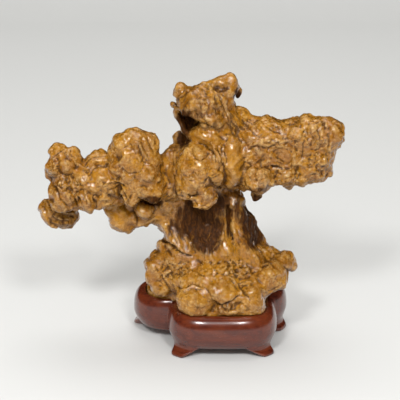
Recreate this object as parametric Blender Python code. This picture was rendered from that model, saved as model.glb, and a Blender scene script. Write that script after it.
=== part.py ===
"""A scholar's rock on its carved wooden stand, about 200 mm wide and 185 mm tall.

The stone is one grown piece: a foot of rounded lumps, a fluted trunk, an overhanging middle, a
horned head with a cave, a shelf on the right and a cloud on the left. The stand is one carved
piece: four lobes, a rolled rim, a seat that the stone drops into, and splayed toes.

World units are metres with +Z up. The tables give millimetres, with x to the right, y to the
back and z up from the surface that the toes stand on.
"""
import math
from typing import NamedTuple

import bmesh
import bpy
from mathutils import Matrix, Vector

MM = 0.001

# Driving dimensions, in millimetres.
SEAT_GAP = 0.3
STAND_MIDDLE = (11.0, 6.0)
BELLY_HEIGHT = 15.0
RIM_HEIGHT = 28.5
RIM_WIDTH = 8.2
RIM_ROUNDNESS = 0.8
SEAT_FLOOR = 17.0
APRON_HEIGHT = 6.5
HOLLOW_HEIGHT = 8.5
TOE_HALF_WIDTH = 5.0
TOE_SHOULDER = 8.0
OUTLINE_STEPS = 84

# How finely the stone is worked.
STONE_VOXEL = 1.5
STONE_FACES = 7150
KNOB_SINK = 0.55
KNOB_BOLDNESS = 1.6


class Lump(NamedTuple):
    """An ellipsoid of stone: its middle, its three half sizes and its lean to the right."""
    x: float
    y: float
    z: float
    across: float
    deep: float
    tall: float
    lean: float = 0.0


class Knob(NamedTuple):
    """A small lump on the face: where it sits, its half sizes, how proud it stands, its lean."""
    x: float
    z: float
    across: float
    tall: float
    proud: float
    lean: float = 0.0


class Lobe(NamedTuple):
    """A rounded lobe of the stand in plan: its middle, its half sizes and its squareness."""
    x: float
    y: float
    across: float
    deep: float
    square: float


LOBES = (
    Lobe(20, -6, 36, 33, 3.2),
    Lobe(-13, 16, 26.5, 24, 2.3),
    Lobe(40, 21, 24, 22, 2.2),
    Lobe(13, 28, 30, 23, 2.6),
)

# Compass angles of the toes round the middle of the stand, in degrees from +x.
TOE_ANGLES = (241.0, 317.0, 5.0, 53.0, 108.0, 160.0)

FOOT = (
    Lump(14, 6, 33, 33, 26, 19),
    Lump(14, -8, 46, 28, 20, 14),
    Lump(-14, 0, 52.5, 12.5, 12, 10.5, 20),
    Lump(-20, 2, 63.5, 3.6, 5, 4.6),
    Lump(2, -22, 34, 12.5, 12, 10.5),
    Lump(21.5, -25, 42, 7.5, 9, 6.5),
    Lump(12.5, -22, 40, 5.5, 9, 7),
    Lump(38, -20, 35.5, 11, 13, 12.5, -15),
    Lump(26, -25, 31, 12, 8, 5.5),
    Lump(52, -8, 47, 11, 13, 9.8),
    Lump(60, 0, 54.5, 7, 9, 6.5),
    Lump(65, 2, 51.5, 4.5, 6, 5.5),
    Lump(47, 8, 50, 15, 14, 10.5),
    Lump(-8, 26, 34, 15, 11, 12),
    Lump(12, 32, 33, 13, 9, 11),
    Lump(34, 26, 34, 12, 10, 12),
    Lump(-20, 16, 43, 9, 11, 10),
    Lump(4, 26, 48, 12, 8, 9),
    Lump(26, 26, 50, 11, 9, 9),
    Lump(46, 16, 41, 10, 11, 10),
)

TRUNK = (
    Lump(6, 9, 84, 24, 14, 35),
    Lump(20, 9, 90, 12, 12, 30),
    Lump(-8, 8, 84, 14, 13, 22),
    Lump(26, 8, 80, 9, 13, 26),
    Lump(33, 12, 66, 10, 14, 18),
    Lump(4, 20, 84, 14, 9, 26),
    Lump(20, 22, 76, 9, 8, 20),
)

MIDDLE = (
    Lump(22, 2, 125, 30, 20, 20),
    Lump(3, -14, 122, 14, 18, 18.5),
    Lump(8, -20, 108, 7, 10, 6.5),
    Lump(25.5, -15, 128, 7, 12, 17.5),
    Lump(13, -4, 144, 16, 15, 9),
    Lump(-13, 4, 114, 9, 13, 17),
    Lump(-8, 6, 124, 8, 11, 9),
    Lump(-7.5, 12, 133, 4.7, 5, 6.5),
    Lump(6, 22, 124, 15, 12, 14),
    Lump(22, 20, 134, 11, 10, 13),
    Lump(2, 18, 134, 8, 8, 8),
    Lump(14, 28, 112, 8, 7, 8),
)

SHELF = (
    Lump(85, -6, 143.5, 12.5, 14, 11.5),
    Lump(80, -6, 130, 11, 14, 14),
    Lump(78, -8, 120.5, 9, 12, 8),
    Lump(73, -6, 149, 7, 10, 7),
    Lump(84, -4, 147.5, 4.5, 8, 6.5),
    Lump(47, -4, 148.2, 9.5, 12, 7),
    Lump(42, -15, 117, 10, 10, 9.5),
    Lump(41.5, -4, 102, 4, 4.5, 4),
    Lump(44, -4, 107, 5, 7, 4),
    Lump(62, -10, 110.5, 3.5, 5, 3.4),
    Lump(70, -12, 115.2, 5, 7, 5),
    Lump(81, -8, 116.6, 5, 8, 4.4),
    Lump(87.3, -6, 120, 3, 6, 4.2),
    Lump(60, -15, 119, 8, 7, 7),
    Lump(46, 12, 134, 14, 8, 13),
    Lump(66, 10, 138, 12, 8, 12),
    Lump(84, 6, 132, 9, 9, 12),
    Lump(56, 14, 118, 9, 6, 7),
    Lump(38, 16, 120, 8, 7, 8),
)

HEAD = (
    Lump(6, -6, 164, 15.5, 14, 11.3),
    Lump(13, -8, 156, 10, 13, 8),
    Lump(-7.8, -4, 172.2, 4.2, 6, 5.1),
    Lump(18, -2, 176, 5, 5, 5),
    Lump(25, -2, 177.9, 5, 5, 5),
    Lump(22, 0, 173, 8, 7, 5),
    Lump(29.2, 5, 168.8, 2.5, 3.5, 4.2),
    Lump(24.5, 0, 168, 3, 5, 4),
    Lump(-11.8, 0, 161.8, 1.9, 3, 2),
    Lump(8, 8, 164, 11, 8, 9),
    Lump(18, 10, 154, 9, 8, 9),
    Lump(-4, 6, 160, 6, 6, 7),
    Lump(2, 12, 152, 7, 6, 7),
)

CLOUD = (
    Lump(-32, -12, 122, 12.5, 14, 18),
    Lump(-34, -12, 139.5, 10, 12, 9),
    Lump(-45, -12, 139.5, 6.5, 10, 6.5),
    Lump(-26, -10, 134, 5.5, 10, 13),
    Lump(-25, -12, 109, 8, 12, 9.5),
    Lump(-44, -12, 124, 9, 13, 13),
    Lump(-41, -18, 107, 5, 7, 6.5),
    Lump(-61, -4, 120, 10.5, 12, 12),
    Lump(-60, -12, 115, 16, 12, 9),
    Lump(-85, -6, 131.5, 6, 7, 5.5),
    Lump(-76.7, -6, 128, 6.5, 8, 6.5),
    Lump(-83, -8, 122, 10, 10, 10),
    Lump(-91.2, -8, 117, 3.5, 4, 3.7),
    Lump(-89, -10, 123, 5, 6, 5),
    Lump(-82.5, -13, 105, 9.3, 11, 11, -5),
    Lump(-68.5, -14, 103.8, 5.3, 10, 10, -12),
    Lump(-60, -13, 103, 4.8, 7, 6),
    Lump(-50, -8, 104, 9, 9, 8),
    Lump(-87, 0, 88, 13.5, 11, 9.5, 26),
    Lump(-33, 2, 84, 8, 8, 6),
    Lump(-30.6, -6, 92, 5.5, 7, 5),
    Lump(-20, 4, 92, 10, 10, 14),
    Lump(-14, 4, 100, 10, 12, 16),
    Lump(-30, 4, 108, 14, 10, 14),
    Lump(-32, 4, 136, 9, 8, 11),
    Lump(-40, 4, 120, 12, 8, 12),
    Lump(-60, 6, 118, 10, 7, 9),
    Lump(-78, 4, 120, 9, 7, 8),
    Lump(-76, 2, 104, 8, 6, 9),
    Lump(-46, 8, 100, 9, 6, 7),
)

# Limbs that taper as they run: each point is x, y, z and the radius there.
LIMBS = (
    ((-28.5, 4, 50, 5), (-27.5, 1, 42, 6.2), (-22, 0, 35, 6.5)),
    ((33, 19, 83, 4.5), (37, 19, 74, 6), (40, 19, 62, 8.5), (43, 18, 52, 10)),
    ((-17, 2, 84, 4), (-12, -4, 72, 4.5), (-8, -8, 62, 5)),
    ((-2, -3, 86, 4), (2, -5, 72, 4.5), (8, -10, 60, 5)),
    ((14, -3, 88, 4), (16, -5, 74, 5), (18, -9, 62, 6)),
    ((29, 0, 96, 3.5), (29, -1, 80, 4.5), (33, -4, 66, 6), (39, -6, 56, 7)),
    ((-8, 20, 104, 5), (-12, 20, 84, 5), (-14, 22, 62, 6)),
    ((28, 22, 98, 4), (28, 24, 80, 4), (30, 26, 60, 5)),
    ((28, 0, 151.5, 8), (40, -2, 145.5, 7)),
    ((44, -4, 103.5, 3), (50, -4, 109, 4)),
    ((2, -4, 168, 5), (8.6, -4, 172.3, 4.8), (13, -4, 174.8, 4.4)),
    ((20, -4, 170, 7), (19, -4, 160, 8), (24, -6, 148, 9)),
    ((-5, -4, 158, 6.2), (-1, -5, 150, 7), (4, -6, 146, 6)),
    ((-50, 2, 90, 7), (-45, 2, 83, 9.5)),
)

# The slab of the shelf: its middle, its half sizes and the round of its edges.
SLAB_MIDDLE = (54, -4, 131)
SLAB_SIZE = (26, 15, 20)
SLAB_ROUND = 8

# The root of the stone fills the seat. Each row is the distance in from the belly and the height;
# it is a little wider than the seat, so that the stand trims it to fit.
ROOT_PROFILE = ((20.0, 16.0), (7.6, 16.0), (7.6, 28.4), (13.0, 33.0))

KNOBS = (
    # head
    Knob(-1, 163, 6, 4.5, 1.6), Knob(7, 160.5, 6, 4, 1.8, 20), Knob(13, 165, 2.6, 9, 1.5, -38),
    Knob(19, 156, 2.6, 10, 1.5, -35), Knob(24, 147, 2.8, 7, 1.6, -25), Knob(4, 168, 5, 3, 1.2),
    # middle
    Knob(5.5, 136, 4.8, 5.2, 2.6), Knob(-2.5, 115, 5.6, 5.2, 2.2), Knob(9.5, 111.5, 5.6, 4.2, 2.4),
    Knob(9.3, 102.5, 3.2, 3.2, 2), Knob(15, 119.5, 4.8, 4.6, 2), Knob(24.5, 141, 5.4, 5.6, 2),
    Knob(1, 125, 5, 4, 1.4), Knob(-7, 127, 3.4, 5, 1.6), Knob(15.5, 132, 1.6, 8, 1.6, -20),
    Knob(19.6, 133, 1.6, 7, 1.6, -12), Knob(9, 126, 3.6, 4.4, 1.4),
    # shelf
    Knob(53, 141, 15, 2.2, 1.8, 3), Knob(41, 133.5, 5.6, 5, 1.8), Knob(39, 121, 4.4, 4, 1.6),
    Knob(45, 116, 4.4, 4, 1.6), Knob(60, 120, 6.6, 5.8, 2), Knob(66, 146.5, 4.6, 4.6, 2),
    Knob(76.5, 139.5, 4.8, 5.2, 2), Knob(84, 134, 6, 5.4, 2), Knob(90, 146, 5, 7, 1.8),
    Knob(79, 128, 4, 5, 1.6), Knob(73, 125, 4, 7, 1.8), Knob(75, 150, 5.4, 6, 1.6),
    Knob(50, 150.5, 7, 2.2, 1.4, 8), Knob(66.5, 133, 1.6, 8, 1.4),
    # cloud
    Knob(-24, 131, 1.7, 11, 1.6, 3), Knob(-28.5, 127, 1.8, 11, 1.6, 3), Knob(-39, 140, 5, 4.6, 1.8),
    Knob(-38, 127, 4.8, 5.6, 1.8), Knob(-46, 127, 4, 5, 1.6), Knob(-33, 115, 4.4, 5.6, 1.8),
    Knob(-49, 112.5, 8, 1.8, 1.8), Knob(-57, 120, 5.4, 4, 2.2), Knob(-67, 119, 4, 4.6, 1.6),
    Knob(-80, 127, 4.8, 4.2, 2.4), Knob(-86, 115, 4, 4.4, 1.6), Knob(-79, 105, 2.6, 7.6, 1.4),
    Knob(-86, 104, 2.6, 7.6, 1.4),
    # foot
    Knob(-16, 57, 4.6, 3.8, 1.6), Knob(-7, 55, 5.4, 3.6, 1.6), Knob(-11, 45, 4.6, 5, 1.6),
    Knob(3, 49, 7, 4.4, 1.8), Knob(10, 57, 6, 4, 1.6), Knob(22, 54, 6, 4, 1.6), Knob(30, 50, 4, 5, 1.8, 30),
    Knob(36, 57, 5, 4.4, 1.6), Knob(48, 57, 9, 2.2, 1.8, 5), Knob(52, 47, 6.5, 4.6, 1.6),
    Knob(18, 31, 2.2, 4, 1.6), Knob(31, 31.5, 3.8, 3.4, 1.6),
)

# What is hollowed out of the face: the cave and its back room, the creases and the dished paddle.
HOLLOWS = (
    ((-7.5, -24, 159, 2.8), (-6.5, -12, 158.5, 2.6)),
    ((-3.5, -24, 156.5, 4.6), (-3, -8, 155, 4.2)),
    ((1.2, -24, 154.2, 4.8), (1, -8, 153, 4.2)),
    ((8.8, -22, 155.6, 1), (11.8, -22, 153.6, 1.5), (14.6, -22, 152.8, 1)),
    ((72, -20, 146, 2), (70, -20, 135, 2.2), (69, -20, 125, 2)),
    ((52, -19.5, 131, 3.2), (57, -19.5, 134, 3.6), (62, -19.5, 132, 3.2)),
    ((-22, -8, 75, 1.6), (-14, -12, 69, 1.9), (-7, -15, 64, 1.6), (0, -17, 61, 1.2)),
    ((26, -9, 96, 1.2), (28, -8, 82, 1.5), (29.5, -10, 72, 1)),
    ((15, -35, 36, 1.2), (22, -36, 34.5, 1.4), (28, -35, 38, 1.2)),
    ((29, -32, 48, 1.4), (33, -34, 42, 1.5), (38, -36, 38.5, 1.2)),
    ((-54, -21, 104.5, 3), (-48, -21, 105, 3.4)),
    ((-25, -22, 98, 3), (-24, -14, 97, 3.4)),
    ((-92, -12, 90, 4), (-86, -13, 86, 5), (-81, -12, 83, 3.6)),
    ((16, -8, 172, 2.2), (22, -8, 172.5, 2.2)),
)


def clear_scene():
    """Removes every object that the scene starts with."""
    for old in list(bpy.data.objects):
        bpy.data.objects.remove(old, do_unlink=True)


def material(name, colour, roughness, metallic=0.0):
    """Returns a Principled material of one colour."""
    made = bpy.data.materials.new(name)
    made.use_nodes = True
    shader = made.node_tree.nodes["Principled BSDF"]
    shader.inputs["Base Color"].default_value = (*colour, 1.0)
    shader.inputs["Roughness"].default_value = roughness
    shader.inputs["Metallic"].default_value = metallic
    return made


def add_object(name, shape, finish=None):
    """Puts a bmesh into a new linked object and frees the bmesh."""
    mesh = bpy.data.meshes.new(name)
    shape.to_mesh(mesh)
    shape.free()
    made = bpy.data.objects.new(name, mesh)
    bpy.context.scene.collection.objects.link(made)
    if finish:
        mesh.materials.append(finish)
    return made


def as_cutter(thing):
    """Marks an object as a guide that isn't part of the model."""
    thing.hide_render = True
    thing.display_type = "WIRE"
    return thing


def leaning(x, y, z, lean=0.0):
    """Returns the place of a piece that leans to the right by so many degrees."""
    place = Matrix.Translation(Vector((x, y, z)) * MM)
    return place @ Matrix.Rotation(math.radians(lean), 4, "Y")


def add_ball(shape, place, half_sizes, fineness=3):
    """Adds an ellipsoid to a bmesh."""
    sizes = Matrix.Diagonal((*(Vector(half_sizes) * MM), 1.0))
    bmesh.ops.create_icosphere(shape, subdivisions=fineness, radius=1.0, matrix=place @ sizes)


def add_limb(shape, points):
    """Adds a tapering limb: a ball at each point and a cone between each pair."""
    for x, y, z, radius in points:
        add_ball(shape, leaning(x, y, z), (radius, radius, radius), fineness=2)
    for start, end in zip(points[:-1], points[1:]):
        low = Vector(start[:3]) * MM
        run = Vector(end[:3]) * MM - low
        turned = run.to_track_quat("Z", "Y").to_matrix().to_4x4()
        bmesh.ops.create_cone(
            shape, cap_ends=True, segments=16, radius1=start[3] * MM, radius2=end[3] * MM,
            depth=run.length, matrix=Matrix.Translation(low + run / 2) @ turned,
        )


def add_rounded_block(shape, middle, half_sizes, rounding):
    """Adds a block with its edges rounded to a bmesh."""
    sizes = Matrix.Diagonal((*(Vector(half_sizes) * 2 * MM), 1.0))
    corners = bmesh.ops.create_cube(shape, size=1.0, matrix=leaning(*middle) @ sizes)["verts"]
    edges = list({edge for corner in corners for edge in corner.link_edges})
    bmesh.ops.bevel(
        shape, geom=corners + edges, offset=rounding * MM, segments=5, profile=0.5,
        affect="EDGES", clamp_overlap=True,
    )


def add_remesh(thing, voxel):
    """Melts overlapping shapes into one skin."""
    melt = thing.modifiers.new("melt", "REMESH")
    melt.mode = "VOXEL"
    melt.voxel_size = voxel * MM
    melt.use_smooth_shade = True


def add_smooth(thing, rounds, strength=0.5):
    """Softens the creases between lumps."""
    soften = thing.modifiers.new("soften", "SMOOTH")
    soften.iterations = rounds
    soften.factor = strength


def add_boolean(thing, operation, other):
    """Cuts one object by another, or joins the two."""
    cut = thing.modifiers.new(operation.lower(), "BOOLEAN")
    cut.operation = operation
    cut.solver = "EXACT"
    cut.object = other


def settle(thing):
    """Replaces an object's mesh with what its modifiers make of it, and drops the modifiers."""
    seen = thing.evaluated_get(bpy.context.evaluated_depsgraph_get())
    mesh = bpy.data.meshes.new_from_object(seen)
    thing.modifiers.clear()
    thing.data = mesh


def stone_masses():
    """Returns the large lumps, limbs and blocks of the stone as one object."""
    shape = bmesh.new()
    for lump in FOOT + TRUNK + MIDDLE + SHELF + HEAD + CLOUD:
        place = leaning(lump.x, lump.y, lump.z, lump.lean)
        add_ball(shape, place, (lump.across, lump.deep, lump.tall))
    for points in LIMBS:
        add_limb(shape, points)
    add_rounded_block(shape, SLAB_MIDDLE, SLAB_SIZE, SLAB_ROUND)
    add_lofted_rings(shape, [(angle, belly_reach(angle), ROOT_PROFILE) for angle in outline_angles()])
    masses = add_object("rock", shape, material("honey stone", (0.42, 0.24, 0.09), 0.3))
    add_remesh(masses, STONE_VOXEL)
    add_smooth(masses, 4)
    settle(masses)
    return masses


def stone_knobs(masses):
    """Returns small lumps set on the front of the masses.

    Each stands out by its row's height times KNOB_BOLDNESS, which makes up for the smoothing after.
    """
    shape = bmesh.new()
    before_the_stone = -0.2
    for knob in KNOBS:
        start = Vector((knob.x * MM, before_the_stone, knob.z * MM))
        hit, point, _, _ = masses.ray_cast(start, Vector((0.0, 1.0, 0.0)))
        if not hit:
            raise ValueError(f"no stone behind the knob at {knob.x}, {knob.z}")
        proud = knob.proud * KNOB_BOLDNESS
        deep = max(proud / KNOB_SINK, min(knob.across, knob.tall))
        middle = point.y / MM + deep - proud
        place = leaning(knob.x, middle, knob.z, knob.lean)
        add_ball(shape, place, (knob.across, deep, knob.tall), fineness=2)
    return add_object("stone knobs", shape)


def stone_hollows():
    """Returns the cutter for the cave, the creases and the dishes."""
    shape = bmesh.new()
    for points in HOLLOWS:
        add_limb(shape, points)
    cutter = add_object("stone hollows", shape)
    add_remesh(cutter, 0.6)
    settle(cutter)
    return as_cutter(cutter)


def join_into(thing, other):
    """Adds another object's mesh to an object's own and removes the other."""
    shape = bmesh.new()
    shape.from_mesh(thing.data)
    shape.from_mesh(other.data)
    shape.to_mesh(thing.data)
    shape.free()
    bpy.data.objects.remove(other, do_unlink=True)


def make_rock(stand_cutter):
    """Returns the stone: lumps melted together, hollowed, and trimmed to its seat."""
    rock = stone_masses()
    join_into(rock, stone_knobs(rock))
    add_remesh(rock, STONE_VOXEL)
    add_smooth(rock, 1)
    add_boolean(rock, "DIFFERENCE", stone_hollows())
    settle(rock)
    thin = rock.modifiers.new("thin", "DECIMATE")
    thin.ratio = STONE_FACES / sum(len(face.vertices) - 2 for face in rock.data.polygons)
    settle(rock)
    add_boolean(rock, "DIFFERENCE", stand_cutter)
    settle(rock)
    keep_largest(rock)
    return rock


def keep_largest(thing):
    """Removes every loose crumb beside an object's largest piece."""
    shape = bmesh.new()
    shape.from_mesh(thing.data)
    left = set(shape.verts)
    pieces = []
    while left:
        piece = set()
        edge_of_piece = [left.pop()]
        while edge_of_piece:
            corner = edge_of_piece.pop()
            piece.add(corner)
            for edge in corner.link_edges:
                other = edge.other_vert(corner)
                if other in left:
                    left.remove(other)
                    edge_of_piece.append(other)
        pieces.append(piece)
    pieces.sort(key=len)
    for crumb in pieces[:-1]:
        bmesh.ops.delete(shape, geom=list(crumb), context="VERTS")
    shape.to_mesh(thing.data)
    shape.free()


def lobe_reach(lobe, angle):
    """Returns how far a ray from the middle of the stand runs before it leaves a lobe."""
    step_x = math.cos(angle)
    step_y = math.sin(angle)
    near, far = 0.0, 120.0
    for _ in range(40):
        half = (near + far) / 2
        x = (STAND_MIDDLE[0] + half * step_x - lobe.x) / lobe.across
        y = (STAND_MIDDLE[1] + half * step_y - lobe.y) / lobe.deep
        if abs(x) ** lobe.square + abs(y) ** lobe.square < 1:
            near = half
        else:
            far = half
    return near


def belly_reach(angle):
    """Returns the stand's plan radius at an angle: the lobe that reaches furthest."""
    return max(lobe_reach(lobe, angle) for lobe in LOBES)


def toe_share(angle, reach):
    """Returns 1 on a toe, 0 on the apron between toes, and a smooth step between the two."""
    share = 0.0
    for toe in TOE_ANGLES:
        off = abs((angle - math.radians(toe) + math.pi) % (2 * math.pi) - math.pi) * reach
        step = min(max(1 - (off - TOE_HALF_WIDTH) / TOE_SHOULDER, 0.0), 1.0)
        share = max(share, step * step * (3 - 2 * step))
    return share


def stand_profile(toe, grow):
    """Returns the stand's section at one angle, from the seat over the rim to the underside.

    Each point is the distance in from the belly and the height. The part below the belly is
    blended between the apron and a toe, and grow swells the whole section.
    """
    points = [(RIM_WIDTH + 0.6 + grow, SEAT_FLOOR + grow), (RIM_WIDTH + 0.2 + grow, RIM_HEIGHT - 1.2)]
    for turn in (82, 62, 42, 22, 0):
        swing = math.radians(turn)
        across = math.cos(swing) ** RIM_ROUNDNESS
        up = math.sin(swing) ** RIM_ROUNDNESS
        inset = RIM_WIDTH * (1 - across) - grow * across
        height = BELLY_HEIGHT + (RIM_HEIGHT - BELLY_HEIGHT + grow) * up
        points.append((inset, height))
    apron = [(0.5, 12.4), (1.6, 9.6), (3.4, 7.4), (5.4, APRON_HEIGHT), (8.5, 7.0), (14.0, HOLLOW_HEIGHT)]
    leg = [(1.4, 11.4), (4.6, 7.4), (4.6, 4.6), (2.0, 1.8), (2.4, 0.0), (12.0, 0.0)]
    for (apron_in, apron_up), (leg_in, leg_up) in zip(apron, leg):
        inset = apron_in + (leg_in - apron_in) * toe - grow
        points.append((inset, apron_up + (leg_up - apron_up) * toe - grow))
    inner_in = 19.0 - 3.0 * toe
    points.append((inner_in, HOLLOW_HEIGHT - grow))
    return points


def outline_angles():
    """Returns the angles at which the stand's outline is worked out."""
    return [2 * math.pi * step / OUTLINE_STEPS for step in range(OUTLINE_STEPS)]


def add_lofted_rings(shape, sections):
    """Adds a closed solid to a bmesh: one ring for each point of the sections, bridged in order.

    Each section is its angle round the middle of the stand, the plan radius there, and a list of
    points, each the distance in from that radius and the height.
    """
    rings = []
    for level in range(len(sections[0][2])):
        ring = []
        for angle, reach, section in sections:
            inset, height = section[level]
            x = STAND_MIDDLE[0] + (reach - inset) * math.cos(angle)
            y = STAND_MIDDLE[1] + (reach - inset) * math.sin(angle)
            ring.append(shape.verts.new((x * MM, y * MM, height * MM)))
        rings.append(ring)
    loops = []
    for ring in rings:
        pairs = zip(ring, ring[1:] + ring[:1])
        loops.append([shape.edges.new(pair) for pair in pairs])
    made = [shape.faces.new(ring) for ring in (rings[0], rings[-1])]
    for upper, lower in zip(loops[:-1], loops[1:]):
        made += bmesh.ops.bridge_loops(shape, edges=upper + lower)["faces"]
    bmesh.ops.recalc_face_normals(shape, faces=made)
    bmesh.ops.triangulate(shape, faces=[face for face in made if len(face.verts) > 4])


def stand_shape(grow=0.0):
    """Returns the stand as a bmesh, swollen by so many millimetres."""
    sections = []
    for angle in outline_angles():
        reach = belly_reach(angle)
        sections.append((angle, reach, stand_profile(toe_share(angle, reach), grow)))
    shape = bmesh.new()
    add_lofted_rings(shape, sections)
    return shape


def make_stand():
    """Returns the carved stand."""
    finish = material("red brown wood", (0.13, 0.03, 0.015), 0.25)
    stand = add_object("stand", stand_shape(), finish)
    stand.data.shade_smooth()
    stand.data.set_sharp_from_angle(angle=math.radians(40))
    return stand


def centre_on_origin(things):
    """Moves the model so that the middle of its box stands over the origin."""
    bpy.context.view_layer.update()
    corners = [thing.matrix_world @ Vector(corner) for thing in things for corner in thing.bound_box]
    middle = [(min(axis) + max(axis)) / 2 for axis in zip(*corners)]
    foot = bpy.data.objects.new("set down", None)
    bpy.context.scene.collection.objects.link(foot)
    for thing in things:
        thing.parent = foot
    foot.location = (-middle[0], -middle[1], 0.0)
    bpy.context.view_layer.update()


def main():
    """Builds the stone and its stand."""
    clear_scene()
    stand_cutter = as_cutter(add_object("seat of the stone", stand_shape(grow=SEAT_GAP)))
    rock = make_rock(stand_cutter)
    stand = make_stand()
    centre_on_origin((rock, stand))


main()
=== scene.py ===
"""Scholars rock on its carved wooden stand: the dressed model, its stage, lights and camera.

Lengths in the classes are millimetres in the rock's own plan, where +x is the right side of the
face, +y runs back and z is the height over the table. Shop.place turns them into metres of the frame.
"""

import logging
import math
from collections.abc import Iterator
from dataclasses import dataclass, field
from enum import Enum

import bpy
import numpy as np
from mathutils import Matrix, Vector


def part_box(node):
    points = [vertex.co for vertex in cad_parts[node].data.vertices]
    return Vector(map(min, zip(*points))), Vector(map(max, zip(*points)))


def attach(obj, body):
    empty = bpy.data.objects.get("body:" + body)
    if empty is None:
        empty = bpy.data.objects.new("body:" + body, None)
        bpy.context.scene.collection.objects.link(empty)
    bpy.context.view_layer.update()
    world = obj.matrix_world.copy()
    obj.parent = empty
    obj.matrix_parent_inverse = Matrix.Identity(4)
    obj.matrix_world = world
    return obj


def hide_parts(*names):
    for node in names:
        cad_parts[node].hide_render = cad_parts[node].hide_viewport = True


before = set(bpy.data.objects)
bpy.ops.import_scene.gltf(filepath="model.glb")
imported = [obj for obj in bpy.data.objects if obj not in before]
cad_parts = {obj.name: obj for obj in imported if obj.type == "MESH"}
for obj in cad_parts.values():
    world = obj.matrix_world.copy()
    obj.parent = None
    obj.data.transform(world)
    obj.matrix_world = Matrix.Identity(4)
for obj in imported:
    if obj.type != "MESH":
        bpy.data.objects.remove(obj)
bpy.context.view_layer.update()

LOG = logging.getLogger("scholars_rock")
MM = 0.001
FAR = 30.0

Array = np.ndarray
Colour = tuple[float, float, float]
Socket = bpy.types.NodeSocket

# The stand's driving sizes.
STAND_MIDDLE = (11.0, 6.0)
BELLY_HEIGHT = 15.0
RIM_HEIGHT = 28.5
RIM_WIDTH = 8.2
RIM_ROUNDNESS = 0.8
SEAT_FLOOR = 17.0
APRON_HEIGHT = 6.5
HOLLOW_HEIGHT = 8.5
TOE_HALF_WIDTH = 3.0
TOE_SHOULDER = 9.5
TOE_ANGLES = (246.0, 313.0, 5.0, 53.0, 108.0, 160.0)
TOE_SWINGS = (-3.5, 3.5, 0.0, 0.0, 0.0, 0.0)
SOLID_SECTIONS = 84
SEAT_GAP = 0.3

# The way the face is seen: the camera looks down by this angle.
VIEW_FALL = math.radians(20.0)
VIEWER = np.array([0.0, -math.cos(VIEW_FALL), math.sin(VIEW_FALL)])
FACE_DEPTH = -15.0

# The stone's room, and how finely its front, its back and its shading are worked, along x, y and z.
STONE_LOW = (-106.0, -46.0, 14.0)
STONE_HIGH = (104.0, 50.0, 190.0)
FRONT_STEP = (0.86, 1.14, 0.86)
BACK_STEP = (1.2, 1.2, 1.2)
SHADE_STEP = (1.6, 1.6, 1.6)

# The stone is made as a front and a back that overlap at this depth.
SEAM = 9.0
OVERLAP = 5.0


# ---------------------------------------------------------------- measures

def smooth_step(low: float, high: float, value: Array) -> Array:
    """Returns t²(3 − 2t), where t is how far a value has come from low to high, from 0 to 1."""
    part = np.clip((value - low) / (high - low), 0.0, 1.0)
    return part * part * (3.0 - 2.0 * part)


def smooth_least(one: Array, other: Array, blend: float) -> Array:
    """Returns the lesser of two distances with the corner between them rounded.

    Args:
        one: a distance.
        other: another distance.
        blend: over how much difference the two melt into each other.

    Returns:
        The lesser, less a quarter of blend times the square of their closeness.
    """
    near = np.maximum(blend - np.abs(one - other), 0.0) / blend
    return np.minimum(one, other) - near * near * blend * 0.25


def between_corners(values: Array, cell: Array, part: Array) -> Array:
    """Blends a grid's values between the eight corners of cells; the grid repeats past its ends.

    Args:
        values: the grid.
        cell: each point's cell, one row each.
        part: how far each point is into its cell along each axis, from 0 to 1.

    Returns:
        A value for each point.
    """
    total = np.zeros(len(cell))
    for corner in np.ndindex(2, 2, 2):
        weight = np.prod(np.where(corner, part, 1.0 - part), axis=1)
        total += weight * values[tuple(((cell + corner) % values.shape).T)]
    return total


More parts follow.
